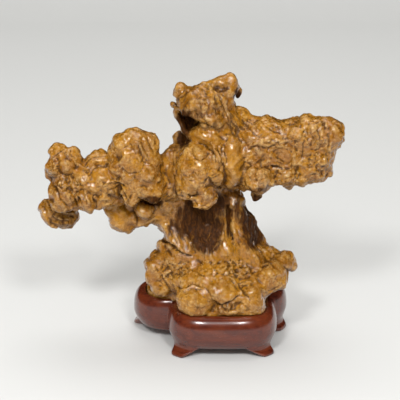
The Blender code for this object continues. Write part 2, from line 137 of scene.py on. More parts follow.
class Lattice:
    """Seeded numbers on a cubic lattice, for soft noise, cobbles and chips."""

    SIDE = 24

    def __init__(self, seed: int) -> None:
        """Draws the lattice's numbers.

        Args:
            seed: which numbers.
        """
        draw = np.random.default_rng(seed)
        self.values = draw.uniform(-1.0, 1.0, (self.SIDE,) * 3).astype(np.float32)
        self.seats = draw.uniform(0.08, 0.92, (self.SIDE,) * 3 + (3,)).astype(np.float32)
        self.tilts = draw.normal(0.0, 0.6, (self.SIDE,) * 3 + (3,)).astype(np.float32)

    def noise(self, spots: Array, size: float) -> Array:
        """Soft noise, blended by quintic steps.

        Args:
            spots: points, one row each.
            size: the lattice's pitch in millimetres.

        Returns:
            A value from -1 to 1 for each point.
        """
        scaled = spots / size
        cell = np.floor(scaled).astype(int)
        part = scaled - cell
        return between_corners(self.values, cell, part ** 3 * (part * (part * 6.0 - 15.0) + 10.0))

    def seats_near(self, spots: Array, size: float) -> Iterator[tuple[Array, tuple]]:
        """Goes through the cells round each point's own.

        Args:
            spots: points, one row each.
            size: the lattice's pitch in millimetres.

        Yields:
            For each of the 27 cells, the way to each point from the cell's seat, in pitches, and
            the cell's key.
        """
        scaled = spots / size
        cell = np.floor(scaled).astype(int)
        for step in np.ndindex(3, 3, 3):
            home = cell + np.array(step) - 1
            key = tuple((home % self.SIDE).T)
            yield scaled - home - self.seats[key], key

    def cobbles(self, spots: Array, size: float) -> tuple[Array, Array]:
        """Distances to the two nearest seats.

        Args:
            spots: points, one row each.
            size: the lattice's pitch in millimetres.

        Returns:
            The lesser and the greater distance, in pitches.
        """
        nearest = second = np.full(len(spots), 9.0)
        for way, _ in self.seats_near(spots, size):
            gap = np.sqrt((way ** 2).sum(axis=1))
            second = np.minimum(second, np.maximum(nearest, gap))
            nearest = np.minimum(nearest, gap)
        return nearest, second

    def facets(self, spots: Array, size: float, edge: float) -> Array:
        """Flat chips that tilt this way and that, one round each seat of the lattice.

        A chip's height is the distance from its seat along its own tilt, and neighbours are mixed by
        weights that fall off as e^(-d²/edge²), so that a small edge keeps the chips crisp.

        Args:
            spots: points, one row each.
            size: the lattice's pitch in millimetres.
            edge: how soft the chips' edges are, in lattice pitches.

        Returns:
            A height from about -1 to 1 for each point.
        """
        steepness, own_height = 1.6, 0.45
        total = np.zeros(len(spots))
        weights = np.full(len(spots), 1e-12)
        for way, key in self.seats_near(spots, size):
            weight = np.exp(-(way ** 2).sum(axis=1) / (edge * edge))
            slope = (way * self.tilts[key]).sum(axis=1)
            total += weight * (slope * steepness + own_height * self.values[key])
            weights += weight
        return total / weights


# ---------------------------------------------------------------- masses

@dataclass(frozen=True)
class Mass:
    """A body with a middle and half sizes."""

    x: float
    y: float
    z: float
    across: float
    deep: float
    tall: float

    def middle_and_half(self) -> tuple[Array, Array]:
        """Returns the middle and the half sizes as arrays."""
        return np.array([self.x, self.y, self.z]), np.array([self.across, self.deep, self.tall])


@dataclass(frozen=True)
class Lump(Mass):
    """An ellipsoid of stone: middle, half sizes, blend, lean to the right and how boxy it is."""

    blend: float = 2.0
    lean: float = 0.0
    power: float = 2.0

    def axes(self) -> Array:
        """Axes of the leaning lump.

        Returns:
            A matrix with the axes as its columns.
        """
        turn = math.radians(self.lean)
        across, up = math.cos(turn), math.sin(turn)
        return np.array([[across, 0, up], [0, 1, 0], [-up, 0, across]])

    def reach(self) -> tuple[Array, Array]:
        """Box round the lump.

        Returns:
            Its lowest and its highest corner.
        """
        middle, half = self.middle_and_half()
        room = np.sqrt(((self.axes() * half) ** 2).sum(axis=1))
        return middle - room, middle + room

    def distance(self, spots: Array) -> Array:
        """Distance to the ellipsoid: (k − 1)/g, with k the scaled radius and g its slope.

        Args:
            spots: points, one row each.

        Returns:
            A distance for each point, less than 0 inside.
        """
        middle, half = self.middle_and_half()
        scaled = np.abs((spots - middle) @ self.axes() / half)
        radius = np.maximum((scaled ** self.power).sum(axis=-1), 1e-6) ** (1.0 / self.power)
        slope = np.sqrt(((scaled ** (self.power - 1.0) / half) ** 2).sum(axis=-1))
        return (radius - 1.0) / np.maximum(slope * radius ** (1.0 - self.power), 1e-6)


@dataclass(frozen=True)
class Limb:
    """A limb that tapers as it runs: each point is x, y, z and the radius there."""

    points: tuple[tuple[float, float, float, float], ...]
    blend: float = 2.0

    def reach(self) -> tuple[Array, Array]:
        """Returns the limb's lowest and highest corners."""
        rows = np.array(self.points)
        return (rows[:, :3] - rows[:, 3:]).min(axis=0), (rows[:, :3] + rows[:, 3:]).max(axis=0)

    def distance(self, spots: Array) -> Array:
        """Distance to the nearest of the cones that join one point's ball to the next.

        Args:
            spots: points, one row each.

        Returns:
            A distance for each point, less than 0 inside.
        """
        rows = np.array(self.points)
        gaps = []
        for start, end in zip(rows[:-1], rows[1:]):
            run = end[:3] - start[:3]
            part = np.clip((spots - start[:3]) @ run / (run @ run), 0.0, 1.0)
            off = spots - start[:3] - part[..., None] * run
            gaps.append(np.sqrt((off ** 2).sum(axis=-1)) - (start[3] + part * (end[3] - start[3])))
        return np.min(gaps, axis=0)


@dataclass(frozen=True)
class Slab(Mass):
    """A block with rounded edges: its middle, its half sizes and the radius of its edges."""

    edge: float
    blend: float = 6.0

    def reach(self) -> tuple[Array, Array]:
        """Returns the slab's lowest and highest corners."""
        middle, half = self.middle_and_half()
        return middle - half, middle + half

    def distance(self, spots: Array) -> Array:
        """Distance to the box that the edge's radius is rolled round.

        Args:
            spots: points, one row each.

        Returns:
            A distance for each point, less than 0 inside.
        """
        middle, half = self.middle_and_half()
        over = np.abs(spots - middle) - (half - self.edge)
        outside = np.sqrt((np.maximum(over, 0.0) ** 2).sum(axis=-1))
        return outside + np.minimum(over.max(axis=-1), 0.0) - self.edge


# ---------------------------------------------------------------- relief

@dataclass(frozen=True)
class Place:
    """A place across (u) and up (w) the face as the viewer sees it, with its half sizes."""

    u: float
    w: float
    across: float
    tall: float

    def offsets(self, u: Array, w: Array, lean: float = 0.0) -> tuple[Array, Array]:
        """Returns how far off the middle places are, along a leaning line and away from it.

        Args:
            u: the places across the face.
            w: the places up the face.
            lean: the line's lean in degrees.

        Returns:
            Both distances, in half sizes.
        """
        turn = math.radians(lean)
        right, up = u - self.u, w - self.w
        along = (right * math.cos(turn) - up * math.sin(turn)) / self.across
        away = (right * math.sin(turn) + up * math.cos(turn)) / self.tall
        return along, away


@dataclass(frozen=True)
class Boss(Place):
    """A low dome on the face, or a dimple where its height is negative."""

    height: float
    lean: float = 0.0

    def rise(self, u: Array, w: Array) -> Array:
        """Height times (1 − q²) to the 0.7, where q is the distance from the middle in half sizes."""
        along, away = self.offsets(u, w, self.lean)
        return self.height * np.maximum(1.0 - along * along - away * away, 0.0) ** 0.7


@dataclass(frozen=True)
class Plate(Place):
    """A flat chip on the face with crisp edges, or a flat recess where its height is negative."""

    height: float
    lean: float = 0.0
    tip: float = 0.3

    def rise(self, u: Array, w: Array) -> Array:
        """Height times (1 + tip·along) inside (along⁴ + away⁴) < 1, with a short slope at its edge.

        Args:
            u: the places across the face.
            w: the places up the face.

        Returns:
            The rise at each place.
        """
        along, away = self.offsets(u, w, self.lean)
        edge = (along ** 4 + away ** 4) ** 0.25
        return self.height * (1.0 - smooth_step(0.7, 1.0, edge)) * (1.0 + self.tip * along)


@dataclass(frozen=True)
class StainAndShade(Place):
    """A dark patch on the face, with its lean and the depth of its darkening: mostly painted shade and
    painted shadow, a little real stain on the trunk.
    """

    lean: float = 0.0
    depth: float = 1.0

    def cover(self, u: Array, w: Array) -> Array:
        """How dark the patch is inside its ellipse, fading out over its outer half."""
        return self.depth * (1.0 - smooth_step(0.5, 1.2, np.hypot(*self.offsets(u, w, self.lean))))


@dataclass(frozen=True)
class Patch(Place):
    """A part of the face that is more or less crinkled than the rest."""

    crinkle: float

    def cover(self, u: Array, w: Array) -> Array:
        """Returns 1 inside the patch's ellipse, fading out at its edge."""
        return 1.0 - smooth_step(0.75, 1.15, np.hypot(*self.offsets(u, w)))


@dataclass(frozen=True)
class Fold:
    """A ridge along a line of points on the face, or a groove where its height is negative."""

    points: tuple[tuple[float, float], ...]
    width: float
    height: float

    def rise(self, u: Array, w: Array) -> Array:
        """Height times (1 − d²), d the distance from the line in half widths, thinner at its ends.

        Args:
            u: the places across the face.
            w: the places up the face.

        Returns:
            The rise at each place.
        """
        rows = np.array(self.points)
        steps = np.diff(rows, axis=0)
        lengths = np.hypot(*steps.T)
        starts = np.concatenate([[0.0], np.cumsum(lengths)])
        best = np.zeros(len(u))
        for start, step, length, walked in zip(rows[:-1], steps, lengths, starts):
            right, up = u - start[0], w - start[1]
            part = np.clip((right * step[0] + up * step[1]) / length ** 2, 0.0, 1.0)
            off = np.hypot(right - part * step[0], up - part * step[1])
            share = (walked + part * length) / starts[-1]
            width = self.width * (0.45 + 0.55 * np.sqrt(np.clip(4.0 * share * (1.0 - share), 0.0, 1.0)))
            best = np.maximum(best, 1.0 - (off / width) ** 2)
        return self.height * best


@dataclass(frozen=True)
class Formation:
    """One of the stone's formations: what it is built of, and what stands out on its face.

    melt is how softly it joins the formations before it.
    """

    name: str
    melt: float
    masses: tuple[Lump | Limb | Slab, ...]
    relief: tuple[Boss | Fold | Plate, ...] = ()
    patches: tuple[Patch, ...] = ()
    stains_and_shade: tuple[StainAndShade, ...] = ()
    crinkle: float = 0.55

    def nearness(self, spots: Array) -> Array:
        """Returns the distance from each point to the nearest of the formation's masses."""
        return np.minimum(np.min([mass.distance(spots) for mass in self.masses], axis=0), FAR)

    def relief_at(self, u: Array, w: Array) -> Array:
        """The tallest dome at each place, with all folds and dimples added.

        Args:
            u: the places across the face.
            w: the places up the face.

        Returns:
            The rise at each place.
        """
        domes = np.zeros(len(u))
        folds = np.zeros(len(u))
        for form in self.relief:
            rise = form.rise(u, w)
            if isinstance(form, Boss) and form.height > 0:
                domes = np.maximum(domes, rise) + 0.35 * np.minimum(domes, rise)
            else:
                folds += rise
        return domes + folds

    def stain_and_shade_at(self, u: Array, w: Array) -> Array:
        """Returns how dark each place of the face is painted by the dark patches, from 0 to 1."""
        return np.max([np.zeros(len(u)), *(stain_and_shade.cover(u, w) for stain_and_shade in self.stains_and_shade)], axis=0)

    def crinkle_at(self, u: Array, w: Array) -> Array:
        """How crinkled the stone is, patch over patch.

        Args:
            u: the places across the face.
            w: the places up the face.

        Returns:
            A share for each place, from 0 to about 1.
        """
        amount = np.full(len(u), self.crinkle)
        for patch in self.patches:
            amount += (patch.crinkle - amount) * patch.cover(u, w)
        return amount


# The crack where the trunk's left root stands free of the foot.
CRACK = Fold(((-20.5, 75.5), (-14.5, 70.5), (-7, 65.5), (-0.5, 63)), 1.2, -3)

FOOT = Formation(
    "foot",
    melt=3.0,
    masses=(
        Lump(14, 6, 33, 33, 26, 19, 6),
        Lump(14, -8, 46, 28, 20, 14, 5),
        Lump(-22.5, -3, 45, 7, 9, 12.5, 2.5, -18, 4),
        Lump(-14, 0, 52.5, 12.5, 12, 10.5, 3, 20),
        Lump(-14, -2, 42, 9, 10, 10, 4),
        Lump(-20, 2, 63.5, 3.6, 5, 4.6, 1.5),
        Lump(-24, 2, 56, 5, 7, 5, 1.5),
        Lump(2, -22, 35, 12, 12, 10, 6, 20, 2.4),
        Lump(20, -25, 41.5, 9.5, 9, 6, 5, 25, 3),
        Lump(11, -20, 42, 7, 9, 8, 4),
        Lump(37, -20, 35, 9.5, 12, 11.5, 4, -20, 3),
        Lump(25, -24, 31, 13, 9, 6.5, 2.5),
        Lump(52, -8, 47, 10.5, 12, 9.3, 5, -25, 3),
        Lump(44, -14, 44, 9, 9, 9, 5),
        Lump(60, 0, 54.5, 7, 9, 6.5, 1.2),
        Lump(65, 2, 51.5, 4.5, 6, 5.5, 1.2),
        Lump(47, 8, 50, 15, 14, 10.5, 4),
        Lump(-8, 26, 34, 15, 11, 12),
        Lump(12, 32, 33, 13, 9, 11),
        Lump(34, 26, 34, 12, 10, 12),
        Lump(-20, 16, 43, 9, 11, 10),
        Lump(4, 26, 48, 12, 8, 9),
        Lump(26, 26, 50, 11, 9, 9),
        Lump(46, 16, 41, 10, 11, 10),
    ),
    relief=(
        # the front dome and the round lumps beside it
        Fold(((-7, 40), (0.5, 42.5), (6, 41)), 0.9, 1),
        Fold(((-6, 35), (-2, 37), (2, 36)), 0.8, 0.9),
        Plate(-3, 36, 6, 6.5, 0.9, 30, 0.5),
        Plate(6, 34, 4.5, 6, 0.8, -20, -0.5),
        Fold(((8, 42), (11.5, 38), (13, 34)), 0.7, -0.7),
        Plate(20, 40, 10, 6.5, 0.9, 35, 0.4),
        Fold(((13, 34), (16, 31), (20, 30.5), (26, 33), (30.5, 38)), 0.9, -1.5),
        Fold(((30, 44), (33, 40), (36, 36), (37.5, 33)), 0.8, -1.4),
        Plate(40.5, 35, 5.5, 9, 0.9, -15, -0.3),
        Fold(((24.5, 48.5), (30.5, 43), (35, 44.5), (38.5, 45.5)), 0.9, 1.3),
        Boss(35, 45.5, 4.3, 2.3, 1.2),
        Boss(18.5, 28, 1.8, 3.6, 1.6),
        Boss(23, 29, 2.8, 2.4, 1.4),
        Boss(27, 25.5, 3.2, 2, 1.4),
        Boss(31.5, 28, 3.2, 3.2, 1.6),
        # the shell lump on the right
        Plate(51, 49, 8, 6.5, 0.8, 35, -0.4),
        Boss(53, 51.5, 4, 3, 0.8),
        Fold(((40, 56), (44.5, 57.5), (50, 57.5), (52.5, 55)), 1, 1.6),
        Fold(((60, 56.5), (63, 53), (62.5, 47.5)), 0.9, -1.2),
        Fold(((44, 41), (50, 38.5), (56, 41)), 0.8, 0.9),
        # the boot on the left
        Fold(((-24, 56), (-20, 48), (-14.5, 40)), 1, -1),
        Plate(-21, 39.5, 6, 5.5, 1, 25, 0.5),
        Fold(((-16.5, 66), (-12.5, 61), (-8.5, 59)), 0.9, 1.2),
        # the fan between
        CRACK,
        Plate(0.5, 49, 6.5, 4.5, 1.1, 25, 0.5),
        Plate(-8, 46, 4, 3.8, 0.9, 30),
        Plate(-11.5, 41, 3, 4.6, 0.9, -20),
        Plate(9, 54.5, 4.5, 4.5, 0.9, 30, 0.4),
        Plate(-12, 62, 5, 3.5, 0.9, 35, 0.4),
        Plate(-5, 56, 5, 4, 0.9, 30, -0.4),
        Fold(((13, 57.5), (19, 63), (24, 66)), 1.2, 1.4),
        Fold(((3, 66.5), (3.5, 61), (7, 57.5)), 1.2, -1.4),
        Fold(((25, 59), (27.5, 52.5), (31, 49)), 0.9, 1.2),
        Plate(19, 55, 3.6, 3.6, 1, 45, 0.4),
        Fold(((27, 58), (24.5, 54), (27, 50)), 0.9, 0.9),
        Fold(((30, 60), (34, 58.5), (36, 54)), 0.9, 0.9),
        Plate(34, 52.5, 4, 3.5, 0.6, -15, 0.4),
        Plate(42, 59, 5, 3, 0.6, 20, 0.4),
    ),
    patches=(
        Patch(1.5, 34, 11, 7, 0.5),
        Patch(23, 38.5, 6, 5, 0.12),
        Patch(41, 35, 6, 8, 0.2),
        Patch(-12, 55, 11, 8, 1.25),
        Patch(27, 55, 14, 7, 1.05),
        Patch(-26, 45, 4, 9, 0.15),
        Patch(60, 56, 7, 6, 0.2),
        Patch(25, 28, 10, 4, 0.9),
    ),
)

TRUNK = Formation(
    "trunk",
    melt=5.0,
    masses=(
        Lump(6, 9, 84, 24, 14, 35, 8),
        Lump(20, 9, 90, 12, 12, 30, 4),
        Lump(-8, 8, 84, 14, 13, 22, 5),
        Lump(26, 8, 80, 9, 13, 26, 4),
        Lump(33, 12, 66, 10, 14, 18, 4),
        Limb(((33, 19, 83, 4.5), (37, 19, 74, 6), (40, 19, 62, 8.5), (43, 18, 52, 10)), 3),
        Limb(((-17, 2, 84, 4), (-12, -4, 72, 4.5), (-8, -8, 62, 5)), 8),
        Limb(((0, 0, 86, 4), (4, -3, 72, 4.5), (8, -9, 60, 5)), 9),
        Limb(((19, -1, 88, 4), (19, -4, 74, 5), (18, -9, 62, 6)), 9),
        Limb(((30, 0, 96, 3.5), (30, -1, 80, 4.5), (34, -4, 66, 6), (40, -6, 56, 7)), 5),
        Lump(11, -1, 62, 26, 13, 14, 9),
        Lump(4, 20, 84, 14, 9, 26, 4),
        Lump(20, 22, 76, 9, 8, 20, 3),
        Limb(((-8, 20, 104, 5), (-12, 20, 84, 5), (-14, 22, 62, 6)), 3),
        Limb(((28, 22, 98, 4), (28, 24, 80, 4), (30, 26, 60, 5)), 3),
    ),
    relief=(
        CRACK,
        Fold(((-6, 86), (-3, 78), (1, 70), (2, 65)), 0.8, -1.3),
        Fold(((21, 80), (17, 72), (12, 67)), 1.2, 0.7),
        Fold(((20.5, 84), (20, 77), (18, 70)), 0.9, 0.7),
        Fold(((23, 99), (24, 87), (26, 75)), 1.4, -4.5),
        Fold(((25, 83), (27, 77), (27.5, 71)), 0.9, 0.7),
        Fold(((-12, 90), (-8, 82), (-3, 74)), 0.9, 0.7),
        Fold(((-16, 84), (-13, 77), (-9, 70)), 0.8, -0.8),
    ),
    # Partly the trunk's own darker stone, partly the painted shadow that the overhang casts down the trunk.
    stains_and_shade=(
        StainAndShade(3, 98, 25, 15),
        StainAndShade(-7, 88, 11, 15, 15, 0.7),
        StainAndShade(6, 85, 18, 14),
        StainAndShade(9, 76, 12, 13),
        StainAndShade(31, 94, 6, 12, depth=0.6),
        StainAndShade(24.3, 87.5, 1.8, 12, 7),
        StainAndShade(37, 88, 8, 15),
        StainAndShade(42, 77, 8, 12, 20),
    ),
    crinkle=0.08,
)

MIDDLE = Formation(
    "middle",
    melt=3.5,
    masses=(
        Lump(22, 2, 125, 30, 20, 20, 8),
        Lump(3, -14, 122, 14, 18, 18.5, 4),
        Lump(8, -20, 108, 8, 10, 7, 4),
        Lump(-3, -20, 112, 6, 9, 8, 1.5),
        Lump(8, -22, 103, 6, 7, 4.2, 4),
        Lump(25.5, -15, 128, 7, 12, 17.5, 1.5),
        Lump(15.5, -14, 130, 6, 14, 17, 4),
        Lump(34, -9, 122, 5, 10, 16, 4),
        Lump(-12, -4, 112, 5, 10, 14, 4),
        Lump(13, -4, 144, 16, 15, 9, 3),
        Lump(-13, 4, 114, 8.5, 13, 17, 3),
        Lump(-8, 6, 124, 8, 11, 9),
        Lump(-7.5, 12, 133, 4.7, 5, 6.5, 0.8),
        Lump(6, 22, 124, 15, 12, 14),
        Lump(22, 20, 134, 11, 10, 13),
        Lump(2, 18, 134, 8, 8, 8),
        Lump(14, 28, 112, 8, 7, 8, 1.5),
    ),
    relief=(
        # the ringed knob and the folds that run round it
        Boss(5.5, 134.5, 4.6, 5.2, 0.6),
        Plate(5.5, 134.5, 4.4, 5, 1.3, 10),
        Fold(((1, 137), (1, 133), (2, 130), (5, 128.5), (9, 129.5), (10.5, 133)), 0.8, -1.4),
        Fold(((3, 141), (8, 139), (12, 135), (14, 131), (14.5, 127)), 0.8, -1.5),
        Fold(((-4, 142), (-7, 137.5), (-9, 132), (-10, 125), (-10, 119)), 0.9, -1.4),
        Boss(-6, 128, 3, 4, 0.5),
        Plate(-3, 122, 4, 3.4, 0.7, -20),
        Plate(4, 125, 5, 3.4, 0.6, 25),
        Plate(6.5, 118.5, 5, 3.4, 0.7, -15),
        Fold(((4.5, 114.5), (6.5, 115.5), (8.5, 114.5)), 1, 1.2),
        # the cheeks, the jaw and the drop under it
        Plate(-1, 110.5, 5.4, 5, 0.9, 20),
        Plate(15, 118, 5, 4.4, 0.8, 15),
        Fold(((11.5, 117), (14.5, 119), (17.5, 121.5)), 0.7, 1.2),
        Fold(((12.5, 115.5), (15, 113), (19, 113.5)), 0.7, 1),
        Fold(((9.5, 119), (11.5, 116), (12, 112.5)), 0.7, -0.7),
        Plate(9.5, 106.5, 6, 4.5, 0.7, -10, 0.2),
        Fold(((9, 109), (11.5, 110.5), (14.5, 109.5)), 0.7, 1),
        Fold(((-8, 108), (-6.5, 104.5), (-3, 101), (0.5, 99), (5, 98)), 1.1, 1.9),
        Fold(((5, 98), (9, 97.5), (12, 99), (14.5, 101.5), (16.5, 106)), 1, 1.2),
        Fold(((16.5, 102.5), (20, 106.5), (22.5, 109)), 0.9, 1.3),
        Fold(((-3, 106), (-0.5, 104), (3, 105)), 0.9, -1.8),
        Boss(17.5, 110.5, 2.6, 1.6, -3),
        # the pillar and the ribs beside it
        Plate(24.5, 142, 5.2, 4, 0.5, 10, -0.3),
        Fold(((20, 136), (20.5, 125), (21.5, 117)), 0.7, -0.8),
        Fold(((33, 138.5), (33.5, 126.5), (32, 117), (31, 112)), 0.7, -0.4),
        Fold(((13, 140.5), (14.5, 136), (17, 131), (17, 126)), 0.8, 1.8),
        Fold(((19.5, 138), (19.5, 133), (21, 127.5), (22.5, 124)), 0.8, 1.8),
        Fold(((16.5, 139), (18, 132), (19.5, 125.5)), 0.7, -0.8),
        # the shoulder on the left
        Fold(((-17, 133), (-16, 127.5), (-16.5, 121)), 0.9, -0.5),
        Fold(((-13.5, 134), (-12.5, 129), (-13.5, 122)), 1.2, 0.5),
        Fold(((-19, 114.5), (-16, 111.5), (-13, 112)), 0.8, 1.3),
        Fold(((-11.5, 119), (-11, 113.5), (-12, 108)), 0.7, -0.5),
        Fold(((-10.5, 137), (-11, 130), (-10.5, 124)), 0.6, 0.9),
        Boss(-14, 108, 2.2, 2.8, 1.1),
        Boss(-8, 115.5, 2, 3.6, 1.1),
        Boss(-2, 117, 3.4, 2, 1.1),
    ),
    patches=(
        Patch(26, 124, 6.5, 16, 0.03),
        Patch(8, 141, 10, 4, 0.2),
        Patch(-15, 124, 7, 14, 0.08),
        Patch(4, 124, 9, 10, 0.6),
        Patch(5, 104, 9, 6, 0.6),
    ),
    # Painted shade on the small knob's turned-away right half, and a narrow painted shade down the
    # shoulder's left side.
    stains_and_shade=(
        StainAndShade(-5.5, 143.5, 5, 8.5, -10),
        StainAndShade(-10, 141, 7, 9, depth=0.45),
        StainAndShade(-14, 124, 3, 9, depth=0.3),
    ),
)

SHELF = Formation(
    "shelf",
    melt=3.5,
    masses=(
        Slab(54, -4, 131, 26, 15, 20, 8, 6),
        Lump(85, -6, 143.5, 12.5, 14, 11.5, 3),
        Lump(80, -6, 130, 11, 14, 14, 4),
        Lump(86, -6, 136, 6.5, 9, 8, 4),
        Lump(78, -8, 120.5, 9, 12, 8, 3),
        Lump(73, -6, 149, 7, 10, 7, 1.5),
        Lump(84, -4, 147.5, 4.5, 8, 6.5, 1.5),
        Lump(47, -4, 147.5, 9.5, 12, 6.5, 3),
        Limb(((28.5, 0, 152.5, 7.5), (40, -2, 145.5, 7)), 4),
        Lump(42, -17, 117, 9.5, 9, 9.3, 4),
        Lump(79, -7, 147.5, 6, 11, 7.5, 3),
        Lump(41.5, -4, 102, 3.7, 4.5, 3.7, 0.8),
        Limb(((43, -4, 105, 2.5), (46, -4, 110, 3.5)), 2),
        Lump(62, -10, 111, 3, 4.5, 2.8, 1.5),
        Lump(70, -12, 115.2, 5, 7, 5, 1.2),
        Lump(81, -8, 116.6, 5, 8, 4.4, 1.5),
        Lump(87.3, -6, 120, 3, 6, 4.2, 1.5),
        Lump(60, -15, 119, 8, 7, 7, 1.2),
        Lump(46, 12, 134, 14, 8, 13),
        Lump(66, 10, 138, 12, 8, 12),
        Lump(84, 6, 132, 9, 9, 12),
        Lump(56, 14, 118, 9, 6, 7, 1.5),
        Lump(38, 16, 120, 8, 7, 8, 1.5),
    ),
    relief=(
        # the ledge and the panel that is sunk under it
        Fold(((36.5, 138.5), (41, 140), (47.5, 138.5), (52, 140.5), (58, 141.5), (63.5, 142.5)), 1.5, 0.9),
        Fold(((43, 152), (47.5, 152.5), (52, 153), (55, 151), (56.5, 149)), 0.8, 0.8),
        Plate(57, 131, 8, 6.5, -0.8, 5, 0.4),
        Fold(((63.5, 142), (64, 135), (64.5, 129), (64.5, 124)), 1.1, 1.1),
        Fold(((71.5, 145), (70.5, 139), (69.5, 132.5), (68, 128.5)), 0.8, -0.6),
        Fold(((26, 163), (30, 156), (35, 148), (38, 142)), 0.9, 0.9),
        Fold(((29, 161), (34, 153.5), (40, 146), (44, 143)), 0.7, -0.9),
        Fold(((35, 157), (42, 150.5), (50, 147)), 0.8, 0.8),
        Fold(((44, 153), (50, 148.5), (58, 146.5)), 0.6, -0.5),
        Fold(((27, 152), (31, 145), (36, 138)), 0.7, -0.5),
        Fold(((50, 132), (53.5, 129), (57.5, 127)), 0.7, 1.1),
        Fold(((50, 124.8), (54, 123.8), (57.5, 123)), 1, -2.4),
        # the pale lump, the spotted lump and what hangs below the panel
        Plate(39, 132, 5.5, 5, 1, -35),
        Plate(41.5, 116.5, 8, 8.5, 0.9, 10, 0.2),
        Boss(38, 121.5, 3, 3, 1.4),
        Boss(44, 119.5, 3.4, 3, 1.4),
        Boss(39.5, 113, 3.3, 2.3, 1.3),
        Boss(45, 113.5, 2.8, 2.3, 1.2),
        Plate(59.5, 118.5, 6.3, 5.6, 0.7, 15),
        Fold(((64.5, 121), (66, 118), (64.5, 113)), 0.8, -1.1),
        Plate(71.5, 123.5, 4, 8, 0.6, -10),
        Boss(69.5, 115, 3.9, 3.2, 1.2),
        Boss(77, 123, 3.3, 4, 1.4),
        # the knuckled end
        Plate(81.5, 127.5, 4, 3.4, 0.7, 10),
        Plate(76.5, 140, 4, 4.2, 1, 10, 0.4),
        Plate(83.5, 134, 5.2, 4.6, 0.8, -15, 0.4),
        Plate(90, 146, 4.6, 6.4, 1, -20, 0.4),
        Fold(((80, 155.5), (81.5, 151.5), (83, 149.5)), 0.7, 0.9),
        Fold(((84.5, 155), (85, 151), (84, 148)), 0.7, 0.8),
        Plate(73.5, 152, 5, 5.8, 0.9, 15),
        Plate(65.5, 147, 4.3, 4, 1, 20),
        Boss(71.5, 145, 0.9, 0.9, -3),
        Fold(((79.5, 148.5), (80, 143.5), (77, 142.5)), 0.8, -0.9),
        Fold(((86, 145), (86.5, 141), (86, 137.5)), 0.8, -0.6),
        Boss(44.5, 141, 2.8, 2, 1.2),
        Boss(48, 142.5, 2.4, 2.2, 1.2),
        Fold(((55.5, 159.5), (59.5, 154), (65, 153.5)), 1, -0.9),
        Fold(((30, 159), (36, 153), (40, 151)), 0.9, 1.2),
        Boss(46.5, 126.5, 2.4, 1.9, 1.2),
        Boss(50.5, 114, 2.6, 2.5, 1.3),
    ),
    patches=(
        Patch(57, 130, 7, 6, 0.3),
        Patch(36, 148, 9, 7, 0.3),
        Patch(90, 145, 5, 8, 0.3),
        Patch(78, 147, 9, 10, 1.1),
        Patch(80, 125, 8, 9, 1.2),
        Patch(60, 118, 9, 6, 1.1),
        Patch(47, 139, 9, 5, 0.95),
        Patch(42, 116, 9, 9, 0.9),
    ),
    # Painted shade under the shelf's lower edges and under its small hanging knob, and a faint darkening
    # over the upper ledge.
    stains_and_shade=(
        StainAndShade(41, 101, 7, 6, depth=0.75),
        StainAndShade(42, 108.5, 17, 4, -12, 0.5),
        StainAndShade(65, 113.5, 12, 3, -8, 0.35),
        StainAndShade(48, 147, 22, 7, 12, 0.12),
    ),
    crinkle=0.65,
)

